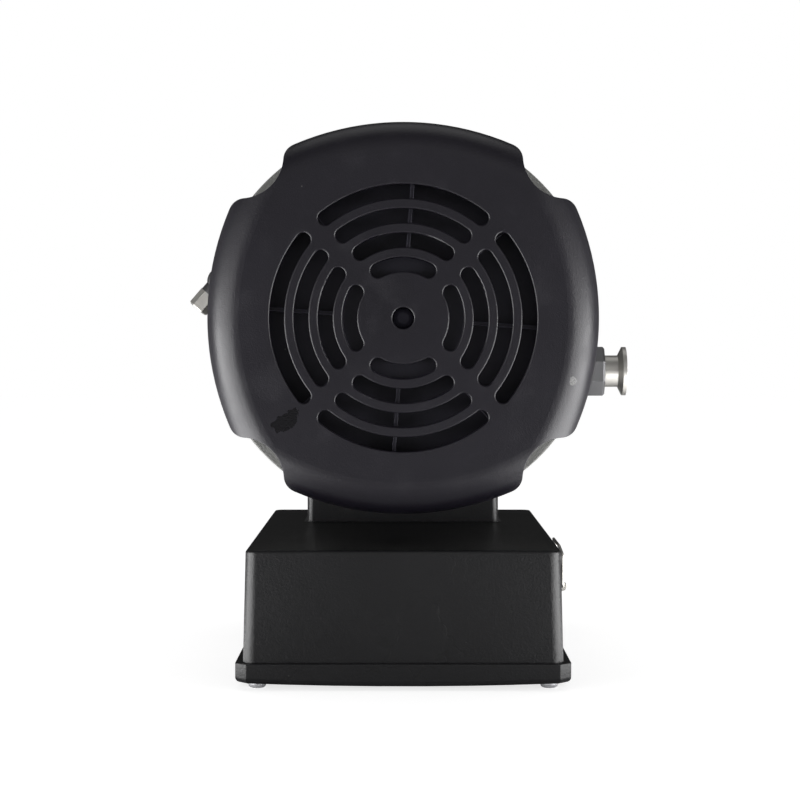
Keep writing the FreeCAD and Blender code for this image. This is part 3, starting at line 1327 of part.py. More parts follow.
def make_connectors():
    panel = panel_x()
    level = socket_height
    socket = Piece("power_inlet")
    flange = 2.5
    socket.pad("YZ_Plane", panel, panel + flange, lambda o: o.rectangle(
        y_socket - 25, level - 11.5, y_socket + 25, level + 11.5))
    socket.soften(3, lambda e: e.BoundBox.XLength > 2)
    socket.pad("YZ_Plane", panel - 16, panel + 5, lambda o: o.rectangle(
        y_socket - socket_body_y, level - socket_body_z, y_socket + socket_body_y, level + socket_body_z))
    cut_y = socket_body_y - 1.7
    cut_z = socket_body_z - 1.7
    socket.pocket("YZ_Plane", panel - 13, panel + 6, lambda o: o.path(
        (y_socket - cut_y, level - cut_z), (y_socket + cut_y, level - cut_z),
        (y_socket + cut_y, level + cut_z - 4), (y_socket + cut_y - 4, level + cut_z),
        (y_socket - cut_y + 4, level + cut_z), (y_socket - cut_y, level + cut_z - 4)))
    for y in (y_socket - ear_spacing / 2, y_socket + ear_spacing / 2):
        socket.pocket("YZ_Plane", panel - 1, panel + flange + 1, lambda o: o.circle(1.6, y, level))
    for y in (y_socket - 7, y_socket, y_socket + 7):
        socket.pocket("YZ_Plane", panel - 17, panel - 12, lambda o: o.rectangle(
            y - 2, level - 2.5, y + 2, level + 1.5))
    keep(socket)
    contacts = Piece("power_contacts")
    for y in (y_socket - 7, y_socket, y_socket + 7):
        contacts.pad("YZ_Plane", panel - 19, panel - 1.5, lambda o: o.rectangle(
            y - 2 + fit, level - 2.5 + fit, y + 2 - fit, level + 1.5 - fit))
    keep(contacts)
    brackets = Piece("bail_brackets")
    for side in (-1, 1):
        screw = y_socket + side * ear_spacing / 2
        edge = y_socket + side * (ear_spacing / 2 + ear_reach)
        low, high = sorted((screw - side * ear_radius, edge), key=float)
        brackets.pad("YZ_Plane", panel + flange, panel + flange + ear_thick, lambda o: o.rectangle(
            low, level - ear_radius, high, level + ear_radius))
        low, high = sorted((edge, edge - side * 1.2), key=float)
        brackets.pad("XZ_Plane", low, high, lambda o: o.path(
            (panel + flange, level - ear_radius), (bail_x(), level - ear_radius, ear_radius),
            (bail_x() + ear_radius, level, ear_radius), (bail_x(), level + ear_radius),
            (panel + flange, level + ear_radius)))
        brackets.pocket("XZ_Plane", low - 0.5, high + 0.5, lambda o: o.circle(
            wire_radius + fit * 2, bail_x(), level))
        brackets.pocket("YZ_Plane", panel + flange - 0.5, panel + flange + 1.5, lambda o: o.circle(
            1.6, screw, level))
    keep(brackets)
    screws = Piece("inlet_screws")
    for side in (-1, 1):
        screw_along(screws, "YZ_Plane", panel + flange + ear_thick, panel + flange + 2.6, panel - 6, 2.6, 1.5,
                    y_socket + side * ear_spacing / 2, level)
    keep(screws)
    keep(make_bail())
    frame = Piece("power_switch")
    frame.pad("YZ_Plane", panel, panel + 1.6, lambda o: o.rectangle(
        y_switch - switch_y - 2, level - switch_z - 2, y_switch + switch_y + 2, level + switch_z + 2))
    frame.pad("YZ_Plane", panel - 18, panel, lambda o: o.rectangle(
        y_switch - switch_y, level - switch_z, y_switch + switch_y, level + switch_z))
    frame.pocket("YZ_Plane", panel - 7, panel + 2, lambda o: o.rectangle(
        y_switch - switch_y + 1, level - switch_z + 0.6, y_switch + switch_y - 1, level + switch_z - 0.6))
    keep(frame)
    rocker = Piece("switch_rocker", x=panel - 1, y=y_switch, z=level)
    reach = switch_y - 1 - running
    half = switch_z - 1.6
    rocker.pad("XZ_Plane", -reach, reach, lambda o: o.path(
        (-2.6, -3), (2.2, -half), (4.6, -half), (3, 0), (4.6, half), (2.2, half), (-2.6, 3),
        (-4.6, 2, 2.2), (-4.6, -2)))
    rocker.body.Placement = FreeCAD.Placement(rocker.body.Placement.Base,
                                              FreeCAD.Rotation(V(0, 1, 0), float(rocker_lean)))
    rocker.body.setExpression("Placement.Rotation.Angle", rocker_lean.text)
    keep(rocker)
    plug = Piece("remote_connector")
    plug.pad("YZ_Plane", panel, panel + 1, lambda o: o.rectangle(
        y_remote - 26.5, level - 6.2, y_remote + 26.5, level + 6.2))
    plug.pad("YZ_Plane", panel - 9, panel, lambda o: o.rectangle(
        y_remote - 19.5, level - 4.8, y_remote + 19.5, level + 4.8))
    plug.pad("YZ_Plane", panel, panel + 6, lambda o: o.path(
        (y_remote - 18.2, level - 3.9), (y_remote + 18.2, level - 3.9), (y_remote + 19.3, level + 3.9),
        (y_remote - 19.3, level + 3.9)))
    for y in (y_remote - 23.5, y_remote + 23.5):
        plug.pocket("YZ_Plane", panel - 1, panel + 2, lambda o: o.circle(1.6, y, level))
    keep(plug)
    posts = Piece("jack_posts")
    for side in (-1, 1):
        y = y_remote + side * 23.5
        posts.pad("YZ_Plane", panel + 1, panel + 6, lambda o: o.path(
            *[(y + px, level + pz) for px, pz in hexagon_points(2.4)]))
        posts.pad("YZ_Plane", panel - 6, panel + 1, lambda o: o.circle(1.5, y, level))
    keep(posts)


def bail_x():
    return panel_x() + bail_offset


# Wire bail: its ends turn inwards through the eyelets, the legs stand up and the top leans to the wall
def make_bail():
    x = float(bail_x())
    z = float(socket_height)
    y = float(y_socket)
    leg = float(ear_spacing) / 2 + float(ear_reach) + 2
    rise = float(bail_height)
    lean = float(bail_lean)
    points = [V(x, y - leg + 4, z), V(x, y - leg, z), V(x, y - leg, z + rise - 3),
              V(x - lean, y - leg + 3, z + rise + 2), V(x - lean, y + leg - 3, z + rise + 2),
              V(x, y + leg, z + rise - 3), V(x, y + leg, z), V(x, y + leg - 4, z)]
    edges = []
    here = points[0]
    for before, corner, after in zip(points, points[1:], points[2:]):
        inward = (before - corner).normalize()
        outward = (after - corner).normalize()
        trim = 1.6
        start = corner + inward * trim
        end = corner + outward * trim
        angle = inward.getAngle(outward)
        radius = trim * math.tan(angle / 2)
        centre = corner + (inward + outward).normalize() * (trim / math.cos(angle / 2))
        middle = centre + (corner - centre).normalize() * radius
        edges.append(Part.LineSegment(here, start).toShape())
        edges.append(Part.Arc(start, middle, end).toShape())
        here = end
    edges.append(Part.LineSegment(here, points[-1]).toShape())
    path = Part.Wire(edges)
    ring_face = Part.Wire(Part.Circle(points[0], V(0, 1, 0), float(wire_radius)).toShape())
    made = document.addObject("Part::Feature", "cord_bail")
    made.Shape = path.makePipeShell([ring_face], True, False)
    return made


def make_electronics():
    board = Piece("controller_board")
    left, right = -62, 58
    front, back = y_base + 60, y_base + 250
    board.pad("XY_Plane", board_height, board_height + board_thick, lambda o: o.rectangle(
        left, front, right, back))
    places = [(x, y) for x in (left + 6, right - 6) for y in (front + 6, back - 6)]
    for x, y in places:
        board.pocket("XY_Plane", board_height - 1, board_height + board_thick + 1, lambda o: o.circle(
            1.6, x, y))
    keep(board)
    posts = Piece("board_standoffs")
    for x, y in places:
        posts.pad("XY_Plane", tray_floor_at(abs(x) + 3), board_height, lambda o: o.circle(3, x, y))
        posts.pad("XY_Plane", board_height, board_height + board_thick + 2, lambda o: o.circle(1.5, x, y))
    keep(posts)
    cans = Piece("capacitors")
    for number in range(3):
        cans.pad("XY_Plane", board_height + board_thick, board_height + board_thick + 34, lambda o: o.circle(
            12.5, -40, y_base + 95 + 30 * number))
    cans.soften(1.2, lambda e: e.BoundBox.ZMin > float(board_height + board_thick) + 30)
    keep(cans)
    sink = Piece("heat_sink")
    low = board_height + board_thick
    sink.pad("XY_Plane", low, low + 5, lambda o: o.rectangle(-10, y_base + 80, 40, y_base + 170))
    fin = sink.pad("XY_Plane", low + 4, low + 26, lambda o: o.rectangle(-10, y_base + 80, -7.6, y_base + 170))
    rows = sink.feature("LinearPattern")
    rows.Originals = [fin]
    rows.Direction = (next(f for f in sink.body.Origin.OriginFeatures if f.Role == "X_Axis"), [""])
    rows.Length = 47.6
    rows.Occurrences = 8
    sink.body.Tip = rows
    document.recompute()
    keep(sink)


for make in (make_front_shroud, make_shroud_screws, make_fixed_scroll, make_scroll_seals, make_orbiting_scroll,
             make_guides, make_crankshaft, make_bearings, make_cooling_fan, make_main_housing, make_bolts,
             make_ports, make_purge, make_motor, make_rear_end, make_pedestal, make_base, make_connectors,
             make_electronics):
    make()

document.recompute()

# Every object must have worked, and every sub-part must be a valid solid, before anything is written
for item in document.Objects:
    if any(state in ("Invalid", "Error") for state in item.State):
        raise RuntimeError(f"{item.Name} failed: {item.State}")
for part in parts:
    if part.Shape.isNull() or not part.Shape.isValid() or not part.Shape.Solids:
        raise RuntimeError(f"{part.Label} has no valid solid")

os.makedirs("parts", exist_ok=True)
for part in parts:
    part.Shape.exportStep(f"parts/{part.Label}.step")
    print(part.Label, len(part.Shape.Solids), round(part.Shape.Volume, 1))
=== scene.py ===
import json
import math

import bmesh
import bpy
from mathutils import Matrix, Vector


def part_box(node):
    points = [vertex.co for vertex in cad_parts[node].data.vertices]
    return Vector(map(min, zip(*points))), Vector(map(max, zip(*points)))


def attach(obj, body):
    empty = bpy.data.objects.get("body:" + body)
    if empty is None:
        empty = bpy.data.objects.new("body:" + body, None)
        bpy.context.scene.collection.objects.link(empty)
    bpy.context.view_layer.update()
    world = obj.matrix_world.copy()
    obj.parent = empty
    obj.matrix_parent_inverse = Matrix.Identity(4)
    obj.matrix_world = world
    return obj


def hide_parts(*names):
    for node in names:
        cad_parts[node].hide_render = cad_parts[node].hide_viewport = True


bl_info = {
    "name": "Scroll vacuum pump",
    "version": (1, 0, 0),
    "blender": (4, 5, 0),
    "location": "View3D > Sidebar > Pump",
    "description": "Finishes, fasteners, connector details and stage of a dry scroll vacuum pump",
    "category": "Object",
}

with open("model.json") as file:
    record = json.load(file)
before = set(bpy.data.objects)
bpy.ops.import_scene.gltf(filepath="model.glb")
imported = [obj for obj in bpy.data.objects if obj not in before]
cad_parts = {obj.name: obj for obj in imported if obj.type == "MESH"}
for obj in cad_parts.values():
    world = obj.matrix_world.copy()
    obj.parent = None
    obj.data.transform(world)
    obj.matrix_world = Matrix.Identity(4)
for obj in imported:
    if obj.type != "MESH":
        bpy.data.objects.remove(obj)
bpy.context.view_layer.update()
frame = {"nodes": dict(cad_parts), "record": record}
MM = 0.001


def centre_of(node):
    low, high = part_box(node)
    return (low + high) / 2


AXIS_HEIGHT = centre_of("crankshaft").z
SHROUD_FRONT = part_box("front_shroud")[0].y
SHAFT_AXIS = (0.0, 0.0, AXIS_HEIGHT)

# The orbiting scroll's own axis, at the crank's rest
SCROLL_AXIS = (0.0045, 0.0, AXIS_HEIGHT)

# Depth behind the shroud's front within which the scuff and the chip are drawn
FACE_DEPTH = 0.012

# The scuff: its centre, the direction of its length, its length over its width, and half its width
SCUFF_X = -0.0652
SCUFF_Z = 0.1530
SCUFF_DIRECTION = (0.77, 0.64)
SCUFF_STRETCH = 2.1
SCUFF_RADIUS = 0.0042
SCUFF_FADE = 0.0005

# The chip: its centre, and its radius and soft rim
CHIP_CENTRE = (0.0950, 0.0, 0.1748)
CHIP_RADIUS = 0.0014
CHIP_FADE = 0.0011

# How far the noise pushes the outlines of both marks in and out
MARK_WANDER = 0.009

# Tones of wear, dirt, painted edge highlight and small parts
PALE_CHIP = (0.34, 0.34, 0.33)
PLASTIC_DUST = (0.22, 0.22, 0.21)
# Lighter tone of the coat's edges: painted highlight, and wear where chipped
COAT_WEAR_AND_EDGE_HIGHLIGHT = (0.09, 0.09, 0.095)
COAT_DUST = (0.16, 0.16, 0.155)
CAST_PIT = (0.06, 0.06, 0.058)
WORN_PAINT = (0.16, 0.16, 0.16)
PAINT_DUST = (0.15, 0.145, 0.14)
RUBBER_DARK = (0.010, 0.010, 0.010)
RUBBER_LIGHT = (0.024, 0.024, 0.023)
RUBBER_BLOOM = (0.09, 0.09, 0.085)
SEAL_DARK = (0.40, 0.37, 0.28)
SEAL_LIGHT = (0.56, 0.52, 0.42)
SHEET_DARK = (0.20, 0.20, 0.215)
SHEET_LIGHT = (0.30, 0.30, 0.31)
SHEET_GAP = (0.05, 0.05, 0.055)
SOLDER = (0.55, 0.55, 0.53)
SLEEVE_DARK = (0.010, 0.012, 0.03)
SLEEVE_LIGHT = (0.016, 0.02, 0.05)
CAN_TOP = (0.55, 0.55, 0.56)
CONNECTOR_BLACK = (0.012, 0.012, 0.012)
SWITCH_BLACK = (0.011, 0.011, 0.011)
GOLD = (0.72, 0.55, 0.25)
PAPER_DARK = (0.58, 0.58, 0.58)
PAPER_LIGHT = (0.62, 0.62, 0.62)
WHITE = (1.0, 1.0, 1.0, 1.0)

# Strokes of brushed metal and turns of wire, per metre along x, y and z
BRUSHED = (900.0, 120.0, 2600.0)
WOUND = (900.0, 60.0, 900.0)

# Steel sheets per metre of the motor's core
SHEETS_PER_METRE = 2000.0

# Cap screws: the number of sides of their round
SCREW_SIDES = 48

# Radius of the knurl's valleys, as a share of the head's radius
KNURL_VALLEY = 0.965

# The socket's round mouth and its bevel, as shares of half the key's width
SOCKET_MOUTH = 1.22
SOCKET_BEVEL = 0.10

# Height of the socket's floor, as a share of the head's height
SOCKET_FLOOR = 0.38

# Each screw of a set is turned by this much more, in radians, so that their sockets differ
SCREW_TURN = 0.7

# Edges of the screws that bend less than this are shaded smooth
SMOOTH_BELOW = math.radians(28)

# Contacts of the remote connector: number in each row and the row's height over the middle
CONTACT_ROWS = ((13, 1.45 * MM), (12, -1.45 * MM))
CONTACT_SIDES = 16

# From one contact to the next, and how deep each starts under the connector's face
CONTACT_PITCH = 2.76 * MM
CONTACT_SINK = 0.2 * MM

# Soft boxes: name, place, the point that they face, width, height and radiance
SOFT_BOXES = (
    ("left_box", (-0.965, -0.64, 0.11), (-0.10, -0.18, 0.11), 1.27, 0.24, 7.2),
    ("right_box", (0.965, -0.64, 0.10), (0.10, -0.18, 0.11), 1.27, 0.24, 7.2),
    ("top_box", (0.0, 0.25, 1.45), (0.0, 0.0, 0.15), 1.2, 1.0, 0.5),
    ("front_fill", (0.25, -1.9, 0.95), (0.0, 0.0, 0.18), 1.1, 0.9, 0.15),
)

# Camera: its place across and up, and its tilt down in degrees
CAMERA_ACROSS = -0.0018
CAMERA_HEIGHT = 0.1977
CAMERA_TILT = 1.58

# Half the floor's side, and how far it lies under the feet
FLOOR_HALF = 6.0
FLOOR_DROP = 0.00005

# The floor's glow for the camera, the glow of its lit sides for gloss, and the room's light
FLOOR_SEEN = 0.75
FLOOR_MIRRORED = 5.7
ROOM_LIGHT = 0.42


# Sizes and colours that a user would change

def colour_property(name, description, default):
    return bpy.props.FloatVectorProperty(name=name, description=description, default=default, size=3,
                                         subtype="COLOR", min=0.0, max=1.0)


def length_property(name, description, default):
    return bpy.props.FloatProperty(name=name, description=description, default=default, min=0.0,
                                   subtype="DISTANCE", unit="LENGTH", precision=5)


class PumpColours(bpy.types.PropertyGroup):
    """Base colours of the pump's finishes"""

    shroud: colour_property("Shroud", "Black moulded plastic of the shroud", (0.0075, 0.0062, 0.0112))
    coat: colour_property("Coat", "Black textured coat of the base and pedestal", (0.0052, 0.0051, 0.0060))
    casting: colour_property("Casting", "Bare cast aluminium of the scroll housing", (0.26, 0.26, 0.25))
    alloy: colour_property("Alloy", "Machined aluminium", (0.72, 0.72, 0.73))
    stainless: colour_property("Stainless", "Turned stainless steel of the ports", (0.74, 0.72, 0.68))
    oxide: colour_property("Oxide", "Dark fittings of the exhaust and purge", (0.16, 0.16, 0.165))
    zinc: colour_property("Zinc", "Plated screws and feet", (0.58, 0.58, 0.60))
    steel: colour_property("Steel", "Ground steel inside the pump", (0.55, 0.55, 0.57))
    motor: colour_property("Motor", "Black paint of the motor", (0.018, 0.018, 0.019))
    fan: colour_property("Fan", "Dark plastic of the fans", (0.018, 0.017, 0.024))
    board: colour_property("Board", "Green solder mask", (0.015, 0.11, 0.05))
    copper: colour_property("Copper", "Enamelled copper", (0.55, 0.24, 0.10))


class PumpSizes(bpy.types.PropertyGroup):
    """Sizes of the fine detail, and the camera's lens and distance"""

    edge_round: length_property("Edge round", "Radius of the moulded edges", 0.0006)
    cast_round: length_property("Cast round", "Radius of the cast edges", 0.0009)
    steel_round: length_property("Steel round", "Radius of the machined edges", 0.0003)
    screw_round: length_property("Screw round", "Radius of the screws' edges", 0.00025)
    head_chamfer: length_property("Head chamfer", "Chamfer of the screw heads", 0.00045)
    lens: bpy.props.FloatProperty(name="Lens", description="Focal length of the camera", default=98.06,
                                  min=10.0, unit="CAMERA")
    camera_distance: length_property("Camera distance", "From the camera to the base's front", 1.224)


# Shader nodes

# Sockets of the Mix node that take and give colours
MIX_FIRST = 6
MIX_SECOND = 7
MIX_RESULT = 2


class Wire:
    """A socket of one finish, on which arithmetic adds Math nodes"""

    def __init__(self, finish, socket):
        self.finish = finish
        self.socket = socket

    def math(self, operation, *values):
        return self.finish.node("ShaderNodeMath", {"operation": operation}, dict(enumerate(values)))

    def __add__(self, other):
        return self.math("ADD", self, other)

    def __radd__(self, other):
        return self.math("ADD", other, self)

    def __sub__(self, other):
        return self.math("SUBTRACT", self, other)

    def __rsub__(self, other):
        return self.math("SUBTRACT", other, self)

    def __mul__(self, other):
        return self.math("MULTIPLY", self, other)

    def __rmul__(self, other):
        return self.math("MULTIPLY", other, self)

    def __truediv__(self, other):
        return self.math("DIVIDE", self, other)

    def __pow__(self, other):
        return self.math("POWER", self, other)

    def over(self, limit):
        return self.math("GREATER_THAN", self, limit)

    def below(self, limit):
        return self.math("LESS_THAN", self, limit)

    def fraction(self):
        return self.math("FRACT", self)

    def absolute(self):
        return self.math("ABSOLUTE", self)

    def highest(self, other):
        return self.math("MAXIMUM", self, other)

    # 0 at the first value and 1 at the second, smooth between them
    def step(self, low, high):
        return self.finish.node("ShaderNodeMapRange", {"interpolation_type": "SMOOTHSTEP"},
                                {"Value": self, "From Min": low, "From Max": high})


class Finish:
    """One material or world, built up from nodes in the object's own coordinates"""

    def __init__(self, owner, coordinates="Object"):
        self.owner = owner
        owner.use_nodes = True
        self.tree = owner.node_tree
        self.tree.nodes.clear()
        self.place = self.node("ShaderNodeTexCoord", out=coordinates)

    # Any node: its settings are set first, then the values or links of its sockets
    def node(self, kind, settings=None, values=None, out=0):
        made = self.tree.nodes.new(kind)
        for name, value in (settings or {}).items():
            setattr(made, name, value)
        for name, value in (values or {}).items():
            if isinstance(value, Wire):
                self.tree.links.new(value.socket, made.inputs[name])
            else:
                made.inputs[name].default_value = value
        return Wire(self, made.outputs[out]) if made.outputs else None

    def vector(self, operation, *values, out=0):
        return self.node("ShaderNodeVectorMath", {"operation": operation}, dict(enumerate(values)), out)

    def split(self, vector):
        first = self.node("ShaderNodeSeparateXYZ", None, {0: vector})
        return [Wire(self, socket) for socket in first.socket.node.outputs]

    def join(self, x, y, z):
        return self.node("ShaderNodeCombineXYZ", None, {0: x, 1: y, 2: z})

    # Scales are in features per metre, as the coordinates are in metres
    def noise(self, scale, detail=3.0, roughness=0.55, place=None):
        return self.node("ShaderNodeTexNoise", None, {
            "Vector": place or self.place, "Scale": scale, "Detail": detail, "Roughness": roughness})

    def cells(self, scale, out="Distance", feature="F1"):
        return self.node("ShaderNodeTexVoronoi", {"feature": feature}, {
            "Vector": self.place, "Scale": scale}, out)

    # A few small round specks: share of the cells that hold one, and the speck's radius in cells
    def specks(self, scale, share, radius):
        made = self.cells(scale)
        pick, _, _ = self.split(self.cells(scale, out="Color"))
        return (1.0 - made.step(radius * 0.6, radius)) * pick.over(1.0 - share)

    # Fine wandering lines, in about half of the surface
    def hairs(self, scale, width):
        line = (self.noise(scale, 3.0, 0.5) - 0.5).absolute()
        return (1.0 - line.step(width * 0.3, width)) * self.noise(scale * 0.7, 1.0).step(0.50, 0.58)

    # The first colour where the mask is 0 and the second where it is 1
    def colour(self, mask, first, second):
        first = first if isinstance(first, Wire) else (*first, 1.0)
        second = second if isinstance(second, Wire) else (*second, 1.0)
        return self.node("ShaderNodeMix", {"data_type": "RGBA"},
                         {0: mask, MIX_FIRST: first, MIX_SECOND: second}, MIX_RESULT)

    # The normal, with the edges rounded to a radius
    def rounded(self, radius):
        return self.node("ShaderNodeBevel", {"samples": 6}, {"Radius": radius})

    # 1 along the corners, where the rounded normal leaves the flat one
    def corners(self, rounded, low=0.01, high=0.18):
        flat = self.node("ShaderNodeNewGeometry", out="Normal")
        return (1.0 - self.vector("DOT_PRODUCT", rounded, flat, out="Value")).step(low, high)

    def bump(self, height, strength, distance, normal=None):
        values = {"Height": height, "Strength": strength, "Distance": distance}
        if normal is not None:
            values["Normal"] = normal
        return self.node("ShaderNodeBump", None, values)

    def surface(self, colour, **values):
        values["Base Color"] = colour if isinstance(colour, Wire) else (*colour, 1.0)
        shader = self.node("ShaderNodeBsdfPrincipled", None,
                           {name.replace("_", " "): value for name, value in values.items()})
        self.node("ShaderNodeOutputMaterial", None, {"Surface": shader})
        return self.owner


def new_finish(name):
    return Finish(bpy.data.materials.new(name))


# A factor under 1 gives a darker colour
def lighter(colour, factor):
    return tuple(min(1.0, part * factor) for part in colour)


# Finishes

# Moulded black plastic: fine grain, a painted highlight along the edges, dull patches and specks of dust
def moulded_plastic(name, base, grain=1.0, gloss=0.6, marks=False):
    sizes = bpy.context.scene.pump_sizes
    skin = new_finish(name)
    cloud = skin.noise(11.0, 3.0)
    tint = skin.colour(cloud, lighter(base, 0.80), lighter(base, 1.22))
    rough = 0.29 + cloud * 0.10
    round_edge = skin.rounded(sizes.edge_round)
    edge = skin.corners(round_edge)
    # The edges are painted much lighter: a painted highlight along the rims
    tint = skin.colour(edge * 0.7, tint, lighter(base, 6.5))
    dust = skin.specks(90.0, 0.10, 0.035)
    grime = skin.noise(38.0, 4.0, 0.6).step(0.52, 0.70)
    rough = rough + grime * 0.08
    if marks:
        scuff, chip = shroud_marks(skin)
        tint = skin.colour(scuff * 0.9, tint, lighter(base, 0.30))
        rough = rough - scuff * 0.18
        tint = skin.colour(chip * 0.7, tint, PALE_CHIP)
    tint = skin.colour(dust * 0.6, tint, PLASTIC_DUST)
    pebble = skin.noise(1700.0, 2.0, 0.5)
    waves = skin.noise(560.0, 3.0, 0.7)
    height = pebble * 0.6 + skin.cells(1300.0) * 0.3 + waves * 0.8
    normal = skin.bump(height, 0.36 * grain, 0.0003, round_edge)
    return skin.surface(tint, Roughness=rough, Specular_IOR_Level=gloss, Normal=normal)


# On the shroud's face: a dark scuff at the lower left and a pale chip on the right shoulder
def shroud_marks(skin):
    x, y, z = skin.split(skin.place)
    face = y.below(SHROUD_FRONT + FACE_DEPTH)
    flat = skin.join(x, 0.0, z)
    wander = (skin.noise(130.0, 4.0, 0.7, flat) - 0.5) * MARK_WANDER
    right = x - SCUFF_X
    up = z - SCUFF_Z
    run, rise = SCUFF_DIRECTION
    along = right * run + up * rise
    across = up * run - right * rise
    reach = ((along / SCUFF_STRETCH) ** 2.0 + across ** 2.0) ** 0.5 + wander
    scuff = (1.0 - reach.step(SCUFF_RADIUS, SCUFF_RADIUS + SCUFF_FADE)) * face
    spot = skin.vector("DISTANCE", flat, CHIP_CENTRE, out="Value") + wander
    broken = skin.noise(1500.0, 3.0, 0.7, flat).step(0.38, 0.56)
    chip = (1.0 - spot.step(CHIP_RADIUS, CHIP_RADIUS + CHIP_FADE)) * broken * face
    return scuff, chip


# Pebbled black coat: a painted highlight along all edges, stronger where they are worn in spots, fine
# scratches and specks of dust
def textured_coat(name, base):
    sizes = bpy.context.scene.pump_sizes
    skin = new_finish(name)
    cloud = skin.noise(14.0, 3.0)
    pebble = skin.noise(700.0, 3.0, 0.6)
    tint = skin.colour(cloud, lighter(base, 0.80), lighter(base, 1.35))
    tint = skin.colour(pebble.step(0.55, 0.75) * 0.35, tint, lighter(base, 2.1))
    round_edge = skin.rounded(sizes.cast_round)
    edge = skin.corners(round_edge, 0.02, 0.25)
    chips = skin.noise(260.0, 4.0, 0.7).step(0.60, 0.70)
    # Every edge is painted lighter as a painted highlight, more so where chips of wear fall
    tint = skin.colour(edge * (0.18 + chips * 0.50), tint, COAT_WEAR_AND_EDGE_HIGHLIGHT)
    hairs = skin.hairs(26.0, 0.008)
    tint = skin.colour(hairs * 0.5, tint, lighter(base, 0.35))
    dust = skin.specks(140.0, 0.12, 0.045)
    tint = skin.colour(dust * 0.5, tint, COAT_DUST)
    height = pebble * 0.8 + skin.noise(330.0, 2.0) * 0.4 - hairs * 0.25
    normal = skin.bump(height, 0.42, 0.0005, round_edge)
    return skin.surface(tint, Roughness=0.30 + cloud * 0.10, Specular_IOR_Level=0.5, Normal=normal)


# Bare sand casting: grains, dark pits and a soft grey shine
def sand_cast(name, base):
    sizes = bpy.context.scene.pump_sizes
    skin = new_finish(name)
    cloud = skin.noise(26.0, 4.0, 0.6)
    sand = skin.noise(720.0, 4.0, 0.65)
    tint = skin.colour(cloud, lighter(base, 0.78), lighter(base, 1.14))
    tint = skin.colour(sand.step(0.42, 0.30) * 0.45, tint, lighter(base, 0.45))
    pits = skin.specks(210.0, 0.16, 0.10)
    tint = skin.colour(pits * 0.8, tint, CAST_PIT)
    round_edge = skin.rounded(sizes.cast_round)
    edge = skin.corners(round_edge)
    tint = skin.colour(edge * 0.4, tint, lighter(base, 1.5))
    height = sand * 0.7 + skin.noise(240.0, 3.0) * 0.5 - pits * 0.6
    normal = skin.bump(height, 0.45, 0.0006, round_edge)
    return skin.surface(tint, Metallic=0.45, Roughness=0.52 + cloud * 0.12, Specular_IOR_Level=0.4,
                        Normal=normal)


# Metal with fine tool marks: rings about an axis, or straight strokes where no axis is given
def worked_metal(name, base, roughness, axis=None, centre=(0.0, 0.0, 0.0), pitch=5200.0, depth=0.12,
                 metallic=1.0):
    sizes = bpy.context.scene.pump_sizes
    skin = new_finish(name)
    if axis is None:
        strokes = skin.noise(1.0, 2.0, 0.5, skin.vector("MULTIPLY", skin.place, BRUSHED))
    else:
        x, y, z = skin.split(skin.vector("SUBTRACT", skin.place, centre))
        along = {"x": x, "y": y, "z": z}[axis]
        one, two = [part for key, part in (("x", x), ("y", y), ("z", z)) if key != axis]
        radius = (one * one + two * two) ** 0.5
        strokes = skin.noise(1.0, 2.0, 0.5, skin.join(along * pitch, radius * pitch, 0.0))
    cloud = skin.noise(45.0, 3.0)
    smear = skin.noise(160.0, 3.0, 0.6)
    tint = skin.colour(cloud, lighter(base, 0.86), lighter(base, 1.08))
    tint = skin.colour(strokes * 0.35, tint, lighter(base, 0.72))
    round_edge = skin.rounded(sizes.steel_round)
    edge = skin.corners(round_edge)
    tint = skin.colour(edge * 0.4, tint, lighter(base, 1.35))
    rough = roughness + smear * 0.12 + strokes * 0.06
    normal = skin.bump(strokes, depth, 0.0002, round_edge)
    return skin.surface(tint, Metallic=metallic, Roughness=rough, Normal=normal)


# Zinc plate, dulled in patches
def plated_steel(name, base):
    sizes = bpy.context.scene.pump_sizes
    skin = new_finish(name)
    cloud = skin.noise(220.0, 3.0)
    tint = skin.colour(cloud, lighter(base, 0.8), lighter(base, 1.1))
    soot = skin.noise(90.0, 4.0, 0.7).step(0.56, 0.72)
    tint = skin.colour(soot * 0.4, tint, lighter(base, 0.45))
    round_edge = skin.rounded(sizes.screw_round)
    normal = skin.bump(skin.noise(3200.0, 2.0), 0.06, 0.0002, round_edge)
    return skin.surface(tint, Metallic=1.0, Roughness=0.28 + cloud * 0.16 + soot * 0.15, Normal=normal)


# Black paint with a slight peel, worn thin at some edges
def motor_paint(name, base):
    sizes = bpy.context.scene.pump_sizes
    skin = new_finish(name)
    cloud = skin.noise(18.0, 3.0)
    peel = skin.noise(520.0, 2.0, 0.5)
    round_edge = skin.rounded(sizes.cast_round)
    edge = skin.corners(round_edge)
    tint = skin.colour(cloud, lighter(base, 0.8), lighter(base, 1.25))
    wear = skin.noise(300.0, 4.0, 0.7).step(0.52, 0.66)
    tint = skin.colour(edge * wear * 0.6, tint, WORN_PAINT)
    dust = skin.specks(120.0, 0.12, 0.05)
    tint = skin.colour(dust * 0.5, tint, PAINT_DUST)
    normal = skin.bump(peel, 0.12, 0.0005, round_edge)
    return skin.surface(tint, Roughness=0.38 + cloud * 0.12, Specular_IOR_Level=0.45, Normal=normal)


# Rubber with a faint grey bloom
def rubber_skin(name):
    skin = new_finish(name)
    cloud = skin.noise(120.0, 3.0)
    tint = skin.colour(cloud, RUBBER_DARK, RUBBER_LIGHT)
    bloom = skin.noise(400.0, 4.0, 0.7).step(0.55, 0.75)
    tint = skin.colour(bloom * 0.2, tint, RUBBER_BLOOM)
    normal = skin.bump(skin.noise(1900.0, 2.0), 0.08, 0.0003)
    return skin.surface(tint, Roughness=0.55 + cloud * 0.15, Specular_IOR_Level=0.3, Normal=normal)


